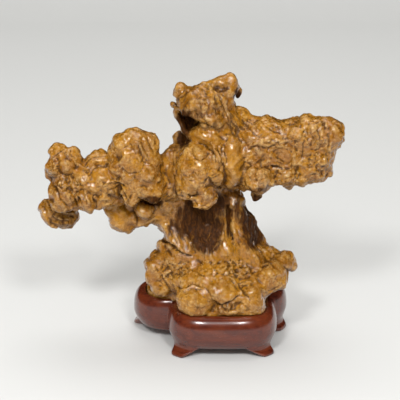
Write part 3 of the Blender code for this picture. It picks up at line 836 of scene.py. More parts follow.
HEAD = Formation(
    "head",
    melt=2.5,
    masses=(
        Lump(6, -6, 164, 15.5, 14, 11.3, 4),
        Lump(13, -8, 156, 10, 13, 8, 3),
        Lump(-7.3, -4, 171.8, 4.4, 6, 4.8, 4),
        Limb(((2, -4, 168, 5), (8.6, -4, 172.3, 4.8), (13, -4, 174.8, 4.4))),
        Lump(18, -2, 176, 5, 5, 5, 1),
        Lump(25, -2, 177.9, 5, 5, 5, 1),
        Lump(22, 0, 173, 8, 7, 5, 1.5),
        Lump(29.6, 6, 168.2, 2.3, 3.5, 4.2, 0.6),
        Lump(27, 4, 171, 2, 3, 2, 0.6),
        Limb(((20, -4, 170, 7), (19, -4, 160, 8), (24, -6, 148, 9)), 4),
        Lump(24.5, 0, 168, 3, 5, 4, 1.5),
        Lump(-11.8, 0, 161.8, 1.9, 3, 2, 0.6),
        Limb(((-5, -4, 158, 6.2), (-1, -5, 150, 7), (4, -6, 146, 6))),
        Lump(8, 8, 164, 11, 8, 9),
        Lump(18, 10, 154, 9, 8, 9),
        Lump(-4, 6, 160, 6, 6, 7, 1.5),
        Lump(2, 12, 152, 7, 6, 7, 1.5),
    ),
    relief=(
        # brow, lip over the cave and what is beside it
        Fold(((-1.5, 176), (-5.5, 172.5), (-10, 170)), 0.9, 0.9),
        Plate(-0.5, 164.5, 6, 4, 0.7, -10),
        Fold(((2, 166.5), (5, 167), (8, 166.5)), 0.9, 1.4),
        Boss(-3.5, 161.5, 4.2, 2.4, 0.8, -20),
        Fold(((-8.5, 161.5), (-6, 160), (-2.5, 159.5), (1, 158.5), (4, 155.5)), 0.9, 1.1),
        Plate(12, 159, 6, 4.4, 0.6, 20),
        Boss(8.5, 155.5, 3.1, 2.4, 0.6),
        Fold(((6, 153.8), (9.5, 153), (12, 151), (14.5, 150.5)), 1, -2.8),
        Fold(((5, 153.5), (7, 150), (5.5, 145)), 0.9, 1),
        Fold(((-3, 165.5), (-1.5, 163.5), (-2.5, 161.5)), 0.6, 0.8),
        Fold(((-8.5, 170), (-10.5, 166.5), (-8, 163.5)), 0.7, -0.9),
        # the two braids that run down to the right
        Fold(
            (
                (10, 179.5), (12, 174.5), (15, 170), (17.5, 165.5),
                (19.5, 161), (23, 156), (26, 150.5), (27.5, 145.5),
            ),
            1.4,
            1.5,
        ),
        Fold(((17, 172.5), (20, 168), (20.5, 162.5), (23.5, 158.5), (27, 154.5), (30, 150)), 1.3, 1.3),
        Fold(((14, 174), (16.5, 170), (19, 164), (21.5, 159), (24, 154)), 0.8, -1.2),
        Fold(((8.5, 177.5), (10, 176), (13, 174)), 0.7, -1),
        Boss(18.5, 176.5, 6, 3, -1.8),
        Boss(19.5, 169, 2.8, 2.6, 0.5),
        Boss(15.5, 163.5, 2, 2.9, 0.4),
        Fold(((17, 151), (18.5, 153.5), (20, 154)), 1, 1.1),
        Boss(4.5, 168.5, 0.7, 0.6, -1.6),
        # the shelf under the slit
        Fold(((9, 140.5), (14, 141), (18.5, 143)), 0.8, 1.2),
        Boss(7, 146.5, 5.6, 2.6, 0.7),
    ),
    patches=(
        Patch(-1, 169.5, 9, 6.5, 0.12),
        Patch(12, 147, 10, 4, 0.15),
        Patch(12, 162, 8, 7, 0.8),
    ),
    # Painted shade in the cave mouth, in the recess under the horn and on the horn's far edge, and a
    # painted shade that dims the whole head.
    stains_and_shade=(
        StainAndShade(-3, 154, 8.5, 10, -30),
        StainAndShade(8, 164, 30, 24, depth=0.36),
        StainAndShade(29, 172, 3.2, 6.5),
        StainAndShade(19, 176, 6.5, 3, depth=0.7),
    ),
    crinkle=0.45,
)

CLOUD = Formation(
    "cloud",
    melt=2.5,
    masses=(
        Lump(-32, -12, 122, 12.5, 14, 18),
        Lump(-35.5, -12, 138.5, 11, 12, 10.4, 4),
        Lump(-44.5, -12, 137.5, 7, 10, 7.2, 5),
        Lump(-26, -10, 133, 5.5, 10, 12.5, 3),
        Lump(-25, -12, 109, 8, 12, 9, 4),
        Lump(-44, -12, 126, 9, 13, 14, 5),
        Lump(-39.5, -19, 107, 5, 5, 7, 3.5, -20, 3),
        Lump(-59.5, -4, 119.5, 10.5, 12, 12, 3, 0, 2.2),
        Lump(-60, -12, 115, 16, 12, 9, 4),
        Lump(-85, -6, 131.5, 6, 7, 5.5, 1),
        Lump(-76.7, -6, 128, 6.5, 8, 6.5, 1.5),
        Lump(-83, -8, 122, 10, 10, 10, 3),
        Lump(-91.2, -8, 117, 3.5, 4, 3.7, 1),
        Lump(-89, -10, 123, 5, 6, 5, 1.2),
        Lump(-84, -9, 112.5, 7, 10, 8, 3),
        Lump(-72, -9, 112, 11, 10, 9, 3),
        Lump(-70, -9, 117.5, 8, 10, 8, 4),
        Lump(-75, -11, 103, 5, 8, 9, 2.5),
        Lump(-38, 3, 97, 9, 7, 9, 3),
        Lump(-82.5, -14, 105, 9.3, 11, 11, 1.5, -5),
        Lump(-67, -14.5, 103.5, 6.5, 10, 9.7, 1.2, -8),
        Lump(-58.5, -13, 102, 6, 7, 6.7, 1.5),
        Lump(-50, -8, 104, 9, 9, 8),
        Lump(-53, -13, 107, 6, 7.5, 6, 4),
        Lump(-87, 0, 88, 13.5, 11, 9.5, 1.5, 26),
        Limb(((-80, -4, 104, 7), (-84, 0, 92, 8)), 1.5),
        Limb(((-50, 2, 90, 7), (-45, 2, 83, 9.5))),
        Lump(-33, 2, 84, 8, 8, 6, 3),
        Lump(-31, -6, 92, 6, 7, 5.5, 1.5),
        Lump(-20, 4, 92, 10, 10, 14, 5),
        Lump(-17, -2, 113, 6, 10, 15, 7),
        Lump(-14, 4, 100, 10, 12, 16, 5),
        Lump(-30, 4, 108, 14, 10, 14, 4),
        Lump(-35, 2, 131, 9, 8, 9),
        Lump(-40, 4, 120, 12, 8, 12),
        Lump(-60, 6, 118, 10, 7, 9),
        Lump(-78, 4, 120, 9, 7, 8),
        Lump(-76, 2, 104, 8, 6, 9, 1.5),
        Lump(-46, 8, 100, 9, 6, 7, 1.5),
    ),
    relief=(
        # the crown and the folds down its right side
        Plate(-44.5, 142, 5, 5.5, 0.9, -20, -0.3),
        Plate(-36, 144, 5, 5, 0.9, 15),
        Fold(((-43, 145), (-41.5, 142), (-41, 138.5)), 0.6, 0.9),
        Fold(((-36, 138), (-34, 133), (-32.5, 128)), 0.9, 1.3),
        Fold(((-31, 143.5), (-28.5, 140), (-27, 135.5), (-25.5, 131)), 0.9, 1.1),
        Fold(((-32.5, 139), (-30.5, 134), (-28, 129)), 0.9, 1.3),
        Fold(((-34, 139), (-32, 133.5), (-30, 127.5)), 0.7, -1.1),
        Fold(((-31.5, 141), (-29.5, 136), (-27, 130.5)), 0.7, -1),
        Fold(((-28, 143.5), (-25.5, 138), (-24, 133)), 0.7, -1.1),
        Fold(((-24.5, 146), (-22, 141.5), (-22, 135)), 0.9, 1.3),
        Fold(((-41.5, 135.5), (-42, 131.5), (-44.5, 127.5), (-48, 125)), 1, 1.5),
        Plate(-38, 127.5, 6.5, 8, 1, 25, -0.3),
        Fold(((-46, 124.5), (-42, 122.5), (-38.5, 120.5), (-34, 119.5)), 0.5, -1.2),
        Fold(((-34, 119.5), (-31, 124), (-28, 129)), 0.5, -1),
        # the block, the ledge and the hollow under it
        Plate(-53, 119, 7.5, 5.5, 1.2, 10, 0),
        Plate(-41, 118, 4.5, 5, 0.8, 20, 0.4),
        Fold(
            ((-56, 111.5), (-52.5, 114), (-48, 115.5), (-45, 115.5), (-42.5, 113.5), (-40.5, 111.5)),
            1.1,
            1.5,
        ),
        Fold(((-52, 109.5), (-46.5, 110.5), (-44, 107), (-42, 102.5)), 1.6, -1.2),
        Plate(-39, 107.5, 3.6, 6.5, 0.6, -20),
        Boss(-48.5, 107, 4.2, 2.8, 1.9),
        Boss(-56, 103.5, 3.4, 2.6, 1.2),
        Boss(-54.5, 98, 3.4, 2.3, 1.3),
        Fold(((-44.5, 112), (-42.5, 107), (-39.5, 101.5)), 0.8, 0.9),
        # the cheek on the right and the knob under it
        Plate(-28.5, 120, 4.5, 6, 0.9, 10),
        Boss(-25, 120, 1.3, 1.6, 1.1),
        Boss(-21, 116, 1.3, 1.5, 1.1),
        Plate(-29, 107.5, 6.5, 4.5, 1.1, -10, -0.3),
        Plate(-30.5, 95, 5.6, 5, 1.4, 15, -0.3),
        Fold(((-27, 99), (-24.5, 95.5), (-25.5, 91.5)), 0.7, 1.1),
        Fold(((-24, 96.5), (-25, 92.5), (-28, 90.5)), 0.7, -1.8),
        Fold(((-36.5, 94), (-35.5, 89.5), (-35.5, 84.5)), 0.8, -1.8),
        Fold(((-35, 84), (-29.5, 86), (-24, 90), (-20, 89.5)), 0.9, 1),
        Fold(((-16.5, 115.5), (-14.5, 111.5), (-11.5, 113.5)), 0.9, 1.4),
        Fold(((-20, 129), (-20, 122), (-18, 116), (-17.5, 110.5), (-19, 105.5)), 0.8, -0.4),
        # the bridge
        Fold(((-67.5, 121), (-65, 125.5), (-60.5, 128.5), (-55.5, 129), (-51.5, 127.5)), 0.9, 1.3),
        Fold(((-69, 124.5), (-66, 129), (-61, 131.8), (-55, 132)), 0.6, -0.8),
        Fold(((-65, 118), (-62.5, 123), (-59, 125)), 0.8, -0.9),
        Plate(-57, 124.5, 4.5, 2.6, -0.8, -10),
        Plate(-69, 117, 5, 4, 0.8, 35, 0.4),
        # the head on the far left and its shining knob
        Fold(((-82, 136), (-87, 132), (-89, 129)), 0.8, -1.3),
        Fold(((-77.5, 136.5), (-76.5, 132.5), (-73.5, 131)), 0.8, -1.2),
        Boss(-88, 130.5, 2.1, 1.9, 1.5),
        Boss(-86.5, 125, 2.7, 2.1, 1.8),
        Boss(-88.5, 121, 4, 3.5, 2),
        Boss(-79, 124.5, 5.5, 5, 2.2, 25),
        Plate(-79.5, 126, 3.4, 3.2, 0.7, 60, -0.4),
        Fold(((-84, 125.5), (-83.5, 122), (-81, 119.5), (-77.5, 118.8)), 0.8, -1.4),
        Fold(((-74, 127), (-70, 124.5), (-66, 121)), 0.9, 1),
        Fold(((-68, 123), (-65.5, 121)), 0.8, 1.5),
        Boss(-79, 133.5, 1.4, 1.2, 1.1),
        # the two fingers
        Fold(((-86, 112.5), (-83, 108.5), (-80.5, 104.5)), 1, 1.5),
        Fold(((-88.5, 112.5), (-85, 107.5), (-83, 102)), 0.9, -1.4),
        Fold(((-83.5, 103.5), (-81, 100.5), (-78.5, 97.5)), 0.9, -1.6),
        Fold(((-91, 102.5), (-87, 97), (-82.5, 94), (-76.5, 92.5)), 1.1, 1.6),
        Fold(((-72.5, 106.5), (-70.5, 103.5), (-69, 100.5)), 0.9, 1.5),
        Fold(((-65.5, 102.5), (-64.5, 99.5)), 0.9, 1.5),
        Fold(((-75, 107), (-74, 102), (-73, 98), (-71, 95)), 0.7, -2),
        Fold(((-62.5, 105), (-61.5, 100), (-61, 95.5)), 0.7, -1.8),
        Fold(((-82.5, 110), (-79, 105), (-76.5, 100)), 0.7, 1),
        Fold(((-68, 107), (-66, 102), (-65, 97.5)), 0.8, 1),
        # the shell below them
        Fold(((-95.5, 99), (-96.5, 96), (-94.5, 90.5), (-91.5, 84.5), (-88, 83.5)), 1.3, 1.9),
        Fold(((-93, 101.5), (-92, 97), (-90, 93)), 1.4, -2.4),
        Fold(((-90, 88), (-85, 86), (-80, 85.5)), 0.9, 1.1),
        Boss(-77.5, 91, 2, 1.5, -2.4),
        Fold(((-90, 92), (-85, 89.5), (-79, 88.5)), 0.7, 0.8),
        Fold(((-88, 90), (-84, 87.5), (-80, 87)), 0.5, -0.8),
    ),
    patches=(
        Patch(-39, 131, 6, 6, 0.2),
        Patch(-55, 119, 7, 5, 0.15),
        Patch(-40, 90, 11, 10, 0.12),
        Patch(-28, 93, 8, 6, 0.2),
        Patch(-69, 124, 5, 6, 0.25),
        Patch(-61, 131, 9, 5, 0.3),
        Patch(-77, 112, 9, 6, 1.25),
        Patch(-87, 121, 5, 5, 1.1),
        Patch(-84, 101, 8, 7, 0.3),
        Patch(-90, 88, 12, 9, 0.3),
        Patch(-79.7, 124.2, 5, 5, 0.08),
        Patch(-62, 100, 8, 6, 0.4),
    ),
    # Painted shade in the hollows under the cheek and under the ledge and inside the shell; fainter
    # darkening over the crown and the paddle.
    stains_and_shade=(
        StainAndShade(-25, 101.5, 8, 4.5, 10),
        StainAndShade(-49, 106.5, 8, 5, -10, 0.5),
        StainAndShade(-39, 128, 16, 22, depth=0.08),
        StainAndShade(-47, 131, 5, 5.5, 20, 0.3),
        StainAndShade(-40, 92, 12, 12, depth=0.25),
        StainAndShade(-82, 89, 13, 9, 20, 0.5),
    ),
)

FORMATIONS = (FOOT, TRUNK, MIDDLE, SHELF, HEAD, CLOUD)

# What is hollowed out: the cave and its mouth, the slits, the creases and the dished undersides.
HOLLOWS = (
    Limb(((-7.6, -26, 160, 2.6), (-6.5, -12, 158.5, 2.8), (-5.5, -3, 157.5, 2.4)), 0.8),
    Limb(((-4.6, -26, 156.5, 4.6), (-4, -12, 155, 4.7), (-3, -3, 154, 3.8)), 0.8),
    Limb(((-2, -26, 152.5, 4), (-1.5, -12, 151, 4.2), (-1, -3, 150, 3.4)), 0.8),
    Limb(((1.5, -24, 153.6, 4), (1.5, -12, 152.2, 4.2), (1, -3, 151.5, 3.6)), 0.8),
    Limb(((8.8, -24, 155.7, 0.7), (11.6, -24, 154, 1.1), (14.4, -24, 153.2, 0.7)), 0.3),
    Limb(((8.8, -18, 155.5, 0.7), (11.6, -18, 153.8, 1.1), (14.4, -18, 153, 0.7)), 0.3),
    Limb(((-93, -13, 91, 3), (-87, -14, 87, 4), (-81, -13, 84, 3)), 1),
    Limb(((-7.5, -36, 32, 1.6), (-5.5, -36, 28, 1.4)), 0.6),
)


# ---------------------------------------------------------------- stand shape

def round_middle(radius: Array, angles: Array) -> tuple[Array, Array]:
    """Returns x and y of the places at a radius and an angle from the stand's middle."""
    return STAND_MIDDLE[0] + radius * np.cos(angles), STAND_MIDDLE[1] + radius * np.sin(angles)


@dataclass(frozen=True)
class Lobe:
    """A rounded lobe of the stand in plan: its middle, its half sizes and its squareness."""

    x: float
    y: float
    across: float
    deep: float
    square: float

    def reach(self, angles: Array) -> Array:
        """How far rays from the stand's middle run before they leave the lobe's superellipse.

        Args:
            angles: the rays' directions in radians.

        Returns:
            The lengths, found by halving the interval forty times.
        """
        near = np.zeros(len(angles))
        far = np.full(len(angles), 120.0)
        for _ in range(40):
            half = (near + far) / 2.0
            x, y = round_middle(half, angles)
            off = np.abs((x - self.x) / self.across) ** self.square
            inside = off + np.abs((y - self.y) / self.deep) ** self.square < 1.0
            near = np.where(inside, half, near)
            far = np.where(inside, far, half)
        return near


LOBES = (
    Lobe(20, -6, 36, 33, 3.2),
    Lobe(-13, 16, 26.5, 24, 2.3),
    Lobe(40, 21, 24, 22, 2.2),
    Lobe(13, 28, 30, 23, 2.6),
)


def belly_reach(angles: Array) -> Array:
    """Returns the stand's plan radius at each angle: the lobe that reaches furthest."""
    return np.max([lobe.reach(angles) for lobe in LOBES], axis=0)


def rim_height(swing: Array) -> Array:
    """Returns the height of the rolled rim's outside, from 0 at the belly to a right angle on top."""
    return BELLY_HEIGHT + (RIM_HEIGHT - BELLY_HEIGHT) * np.sin(swing) ** RIM_ROUNDNESS


class SeatRoom:
    """What the stand leaves free for the stone: the room over its rim and inside its pocket."""

    WALL = RIM_WIDTH + 0.2
    ROOT_TOP = 30.0
    RIM_STEEPNESS = 0.8

    def __init__(self) -> None:
        """Works out the stand's outline once, for looking up."""
        self.angles = np.linspace(-math.pi, math.pi, 1441)
        self.radii = belly_reach(self.angles)

    def inset(self, spots: Array) -> Array:
        """How far inside the belly's outline points lie, towards the middle.

        Args:
            spots: points, one row each.

        Returns:
            A length for each point, less than 0 outside.
        """
        x = spots[..., 0] - STAND_MIDDLE[0]
        y = spots[..., 1] - STAND_MIDDLE[1]
        return np.interp(np.arctan2(y, x), self.angles, self.radii) - np.hypot(x, y)

    def clearance(self, spots: Array) -> Array:
        """Distance out of the wood: the lesser of that to the rim and that to the floor.

        Args:
            spots: points, one row each.

        Returns:
            A distance for each point, less than 0 in the wood.
        """
        inset = self.inset(spots)
        swing = np.arccos(np.clip(1.0 - inset / RIM_WIDTH, 0.0, 1.0) ** (1.0 / RIM_ROUNDNESS))
        over_rim = (spots[..., 2] - rim_height(swing)) * self.RIM_STEEPNESS
        return np.minimum(np.maximum(over_rim, inset - self.WALL), spots[..., 2] - SEAT_FLOOR)

    def root(self, spots: Array) -> Array:
        """Distance to the plug of stone that fills the pocket.

        Args:
            spots: points, one row each.

        Returns:
            A distance for each point, less than 0 inside.
        """
        height = spots[..., 2]
        past_wall = self.WALL + SEAT_GAP - self.inset(spots)
        past_floor = SEAT_FLOOR + SEAT_GAP - height
        return np.maximum(np.maximum(past_wall, past_floor), height - self.ROOT_TOP)


# ---------------------------------------------------------------- meshes

@dataclass
class Shell:
    """A mesh in the making: its corners in millimetres, its four-sided faces and its masks."""

    corners: Array
    faces: Array
    masks: dict[str, Array] = field(default_factory=dict)

    def edges(self) -> tuple[Array, Array]:
        """Returns the corner numbers at the start and at the end of each face's sides."""
        return self.faces.T.ravel(), np.roll(self.faces, -1, axis=1).T.ravel()

    def normals(self) -> Array:
        """Normals at the corners: the sum of the faces' crossed diagonals.

        Returns:
            A unit normal for each corner.
        """
        square = self.corners[self.faces]
        cross = np.cross(square[:, 2] - square[:, 0], square[:, 3] - square[:, 1])
        total = np.zeros_like(self.corners)
        for side in self.faces.T:
            for axis in range(3):
                total[:, axis] += np.bincount(side, cross[:, axis], len(total))
        return total / np.maximum(np.linalg.norm(total, axis=1, keepdims=True), 1e-9)

    def averaged(self, values: Array, rounds: int) -> Array:
        """Values at the corners, each round halfway towards the mean of the neighbours'.

        Args:
            values: one row for each corner.
            rounds: how many times.

        Returns:
            The smoothed values.
        """
        start, end = self.edges()
        here, there = np.concatenate([start, end]), np.concatenate([end, start])
        count = np.maximum(np.bincount(here, minlength=len(values)), 1)[:, None]
        for _ in range(rounds):
            total = [np.bincount(here, column[there], len(values)) for column in values.T]
            values = (values + np.stack(total, axis=1) / count) / 2.0
        return values

    def standing_out(self, rounds: int) -> Array:
        """Returns how far each corner lies out of the skin round it, averaged over some rounds."""
        return ((self.corners - self.averaged(self.corners, rounds)) * self.normals()).sum(axis=1)

    def largest_body(self) -> "Shell":
        """The biggest connected body of a shell without masks, found by spreading the least number.

        Returns:
            The shell less its loose crumbs.
        """
        start, end = self.edges()
        label = np.arange(len(self.corners))
        settled = False
        while not settled:
            least = np.minimum(label[start], label[end])
            fresh = label.copy()
            np.minimum.at(fresh, start, least)
            np.minimum.at(fresh, end, least)
            fresh = fresh[fresh]
            settled = np.array_equal(fresh, label)
            label = fresh
        keep = label == np.bincount(label).argmax()
        number = np.cumsum(keep) - 1
        return Shell(self.corners[keep], number[self.faces[keep[self.faces[:, 0]]]])


class Shop:
    """Turns shells into finished Blender objects, in the frame's metres."""

    def __init__(self) -> None:
        """Finds where the frame puts the plan's origin, from the stand's own box."""
        angles = np.linspace(0.0, 2.0 * math.pi, SOLID_SECTIONS, endpoint=False)
        x, y = round_middle(belly_reach(angles), angles)
        low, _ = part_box("stand")
        self.shift = np.array([low[0] - x.min() * MM, low[1] - y.min() * MM, low[2]])

    def place(self, spots: Array) -> Array:
        """Returns plan millimetres as frame metres."""
        return np.asarray(spots, float) * MM + self.shift

    @staticmethod
    def link(name: str, data: bpy.types.ID) -> bpy.types.Object:
        """Links a new object into the scene.

        Args:
            name: the object's name.
            data: its mesh, lamp or camera.

        Returns:
            The object.
        """
        made = bpy.data.objects.new(name, data)
        bpy.context.scene.collection.objects.link(made)
        return made

    def make(self, name: str, shell: Shell, finish: bpy.types.Material) -> bpy.types.Object:
        """Puts a shell into a new smooth-shaded object.

        Args:
            name: the piece's name.
            shell: its corners, faces and masks.
            finish: its material.

        Returns:
            The linked object, at the origin, with its place in its mesh.
        """
        mesh = bpy.data.meshes.new(name)
        mesh.vertices.add(len(shell.corners))
        mesh.vertices.foreach_set("co", self.place(shell.corners).ravel())
        mesh.loops.add(shell.faces.size)
        mesh.loops.foreach_set("vertex_index", shell.faces.ravel())
        mesh.polygons.add(len(shell.faces))
        mesh.polygons.foreach_set("loop_start", np.arange(len(shell.faces)) * 4)
        mesh.update(calc_edges=True)
        mesh.validate()
        mesh.polygons.foreach_set("use_smooth", np.ones(len(mesh.polygons), bool))
        for mask_name, mask in shell.masks.items():
            layer = mesh.attributes.new(mask_name, "FLOAT", "POINT")
            layer.data.foreach_set("value", mask.astype(np.float32))
        mesh.materials.append(finish)
        return self.link(name, mesh)


class Half(Enum):
    """Which part of the stone is made: all of it, or one side of the seam."""

    WHOLE = 0
    FRONT = 1
    BACK = -1


class StoneField:
    """The stone as a field on a grid: negative inside, zero on its surface."""

    ROOT_ROOM = 18.0
    ROOT_BLEND = 2.0
    MARGIN = 9.0

    def __init__(self, step: tuple[float, float, float], half: Half) -> None:
        """Builds the field from the formations, the root, the hollows and the stand's room.

        Args:
            step: the grid's steps along x, y and z.
            half: which side of the seam is kept.
        """
        self.step = np.array(step)
        self.low = np.array(STONE_LOW)
        high = np.array(STONE_HIGH)
        if half is Half.FRONT:
            high[1] = SEAM + OVERLAP + 3.0 * step[1]
        if half is Half.BACK:
            self.low[1] = SEAM - OVERLAP - 3.0 * step[1]
        self.count = np.ceil((high - self.low) / self.step).astype(int) + 1
        self.values = np.full(self.count, FAR, np.float32)
        for formation in FORMATIONS:
            own = np.full(self.count, FAR, np.float32)
            for mass in formation.masses:
                self.press(own, mass, 1.0)
            self.values = smooth_least(self.values, own, formation.melt).astype(np.float32)
        room = SeatRoom()
        base = (slice(None), slice(None), slice(0, int(self.ROOT_ROOM / step[2])))
        spots = self.spots(base)
        self.values[base] = smooth_least(self.values[base], room.root(spots), self.ROOT_BLEND)
        for hollow in HOLLOWS:
            self.press(self.values, hollow, -1.0)
        self.values[base] = np.maximum(self.values[base], SEAT_GAP - room.clearance(spots))
        if half is not Half.WHOLE:
            depth = self.low[1] + self.step[1] * np.arange(self.count[1])
            past = half.value * (depth - SEAM) - OVERLAP
            self.values = np.maximum(self.values, past[None, :, None]).astype(np.float32)

    @staticmethod
    def swayed(spots: Array) -> Array:
        """Moves points by a few long sine waves, which make every mass irregular.

        Args:
            spots: points, one row each.

        Returns:
            The moved points.
        """
        x, y, z = spots[..., 0], spots[..., 1], spots[..., 2]
        right = 0.6 * np.sin(0.50 * z + 0.21 * y) + 0.3 * np.sin(1.05 * z - 0.6 * y + 2.0)
        back = 0.6 * np.sin(0.43 * x + 0.4 * z + 3.0)
        up = 0.6 * np.sin(0.47 * x - 0.25 * y + 1.0) + 0.3 * np.sin(1.0 * x + 0.5 * y)
        calm = smooth_step(30.0, 42.0, z)
        return spots + np.stack([right, back, up], axis=-1).astype(np.float32) * calm[..., None]

    def spots(self, block: tuple[slice, slice, slice]) -> Array:
        """Returns the places of a block of the grid's points."""
        axes = [self.low[n] + self.step[n] * np.arange(self.count[n])[block[n]] for n in range(3)]
        return np.stack(np.meshgrid(*axes, indexing="ij"), axis=-1).astype(np.float32)

    def press(self, values: Array, form: Lump | Limb | Slab, sign: float) -> None:
        """Adds a form to a field, or takes it out, near where the form is.

        Args:
            values: the field, changed in place.
            form: what is added or taken out.
            sign: 1 to add and -1 to take out.
        """
        low, high = form.reach()
        first = np.clip(np.floor((low - self.MARGIN - self.low) / self.step).astype(int), 0, self.count)
        last = np.clip(np.ceil((high + self.MARGIN - self.low) / self.step).astype(int) + 1, 0, self.count)
        if (first < last).all():
            block = tuple(slice(a, b) for a, b in zip(first, last))
            gap = form.distance(self.swayed(self.spots(block)))
            values[block] = sign * smooth_least(sign * values[block], gap, form.blend)

    def at(self, spots: Array) -> Array:
        """The field at any points, blended in straight lines between the grid's.

        Args:
            spots: points, one row each.

        Returns:
            A distance for each point.
        """
        scaled = (spots - self.low) / self.step
        cell = np.clip(np.floor(scaled).astype(int), 0, self.count - 2)
        return between_corners(self.values, cell, scaled - cell)

    def shell(self) -> Shell:
        """The field's surface: one corner in each cell that it crosses, one face on each crossed edge.

        Returns:
            The shell of the largest body. A cell's corner is the mean of the points where the
            surface crosses the cell's twelve edges.
        """
        inside = self.values < 0
        size = np.array(self.values.shape) - 1
        filled = np.zeros(size, np.int8)
        for corner in np.ndindex(2, 2, 2):
            filled += inside[tuple(slice(c, c + n) for c, n in zip(corner, size))]
        cells = np.argwhere((filled > 0) & (filled < 8))
        number = np.full(size, -1, np.int64)
        number[tuple(cells.T)] = np.arange(len(cells))
        total = np.zeros((len(cells), 3))
        crossings = np.zeros(len(cells))
        for start in np.ndindex(2, 2, 2):
            for axis in np.flatnonzero(np.array(start) == 0):
                way = np.eye(3)[axis]
                here = self.values[tuple((cells + start).T)]
                there = self.values[tuple((cells + start + way.astype(int)).T)]
                crossed = (here < 0) != (there < 0)
                part = np.where(crossed, here / np.where(crossed, here - there, 1.0), 0.0)
                total += (np.array(start) + part[:, None] * way) * crossed[:, None]
                crossings += crossed
        corners = self.low + self.step * (cells + total / crossings[:, None])
        faces = [self.faces_across(axis, inside, number) for axis in range(3)]
        return Shell(corners, np.concatenate(faces)).largest_body()

    @staticmethod
    def faces_across(axis: int, inside: Array, number: Array) -> Array:
        """Makes the faces that cross the grid's edges along one axis.

        Args:
            axis: the edges' axis.
            inside: which of the grid's points are in the stone.
            number: the number of the corner in each cell.

        Returns:
            The faces, turned outwards.
        """
        count = inside.shape[axis]
        lower = np.take(inside, range(count - 1), axis)
        upper = np.take(inside, range(1, count), axis)
        crossed = np.argwhere(lower != upper)
        others = [n for n in range(3) if n != axis]
        ends = np.array(inside.shape)[others] - 1
        inner = (crossed[:, others] > 0) & (crossed[:, others] < ends)
        crossed = crossed[inner.all(axis=1)]
        ring = []
        for back in ((1, 1), (0, 1), (0, 0), (1, 0)):
            cell = crossed.copy()
            cell[:, others] -= back
            ring.append(number[tuple(cell.T)])
        faces = np.stack(ring, axis=1)
        outward = inside[tuple(crossed.T)] != (axis == 1)
        faces[~outward] = faces[~outward][:, ::-1]
        return faces


# ---------------------------------------------------------------- the stone

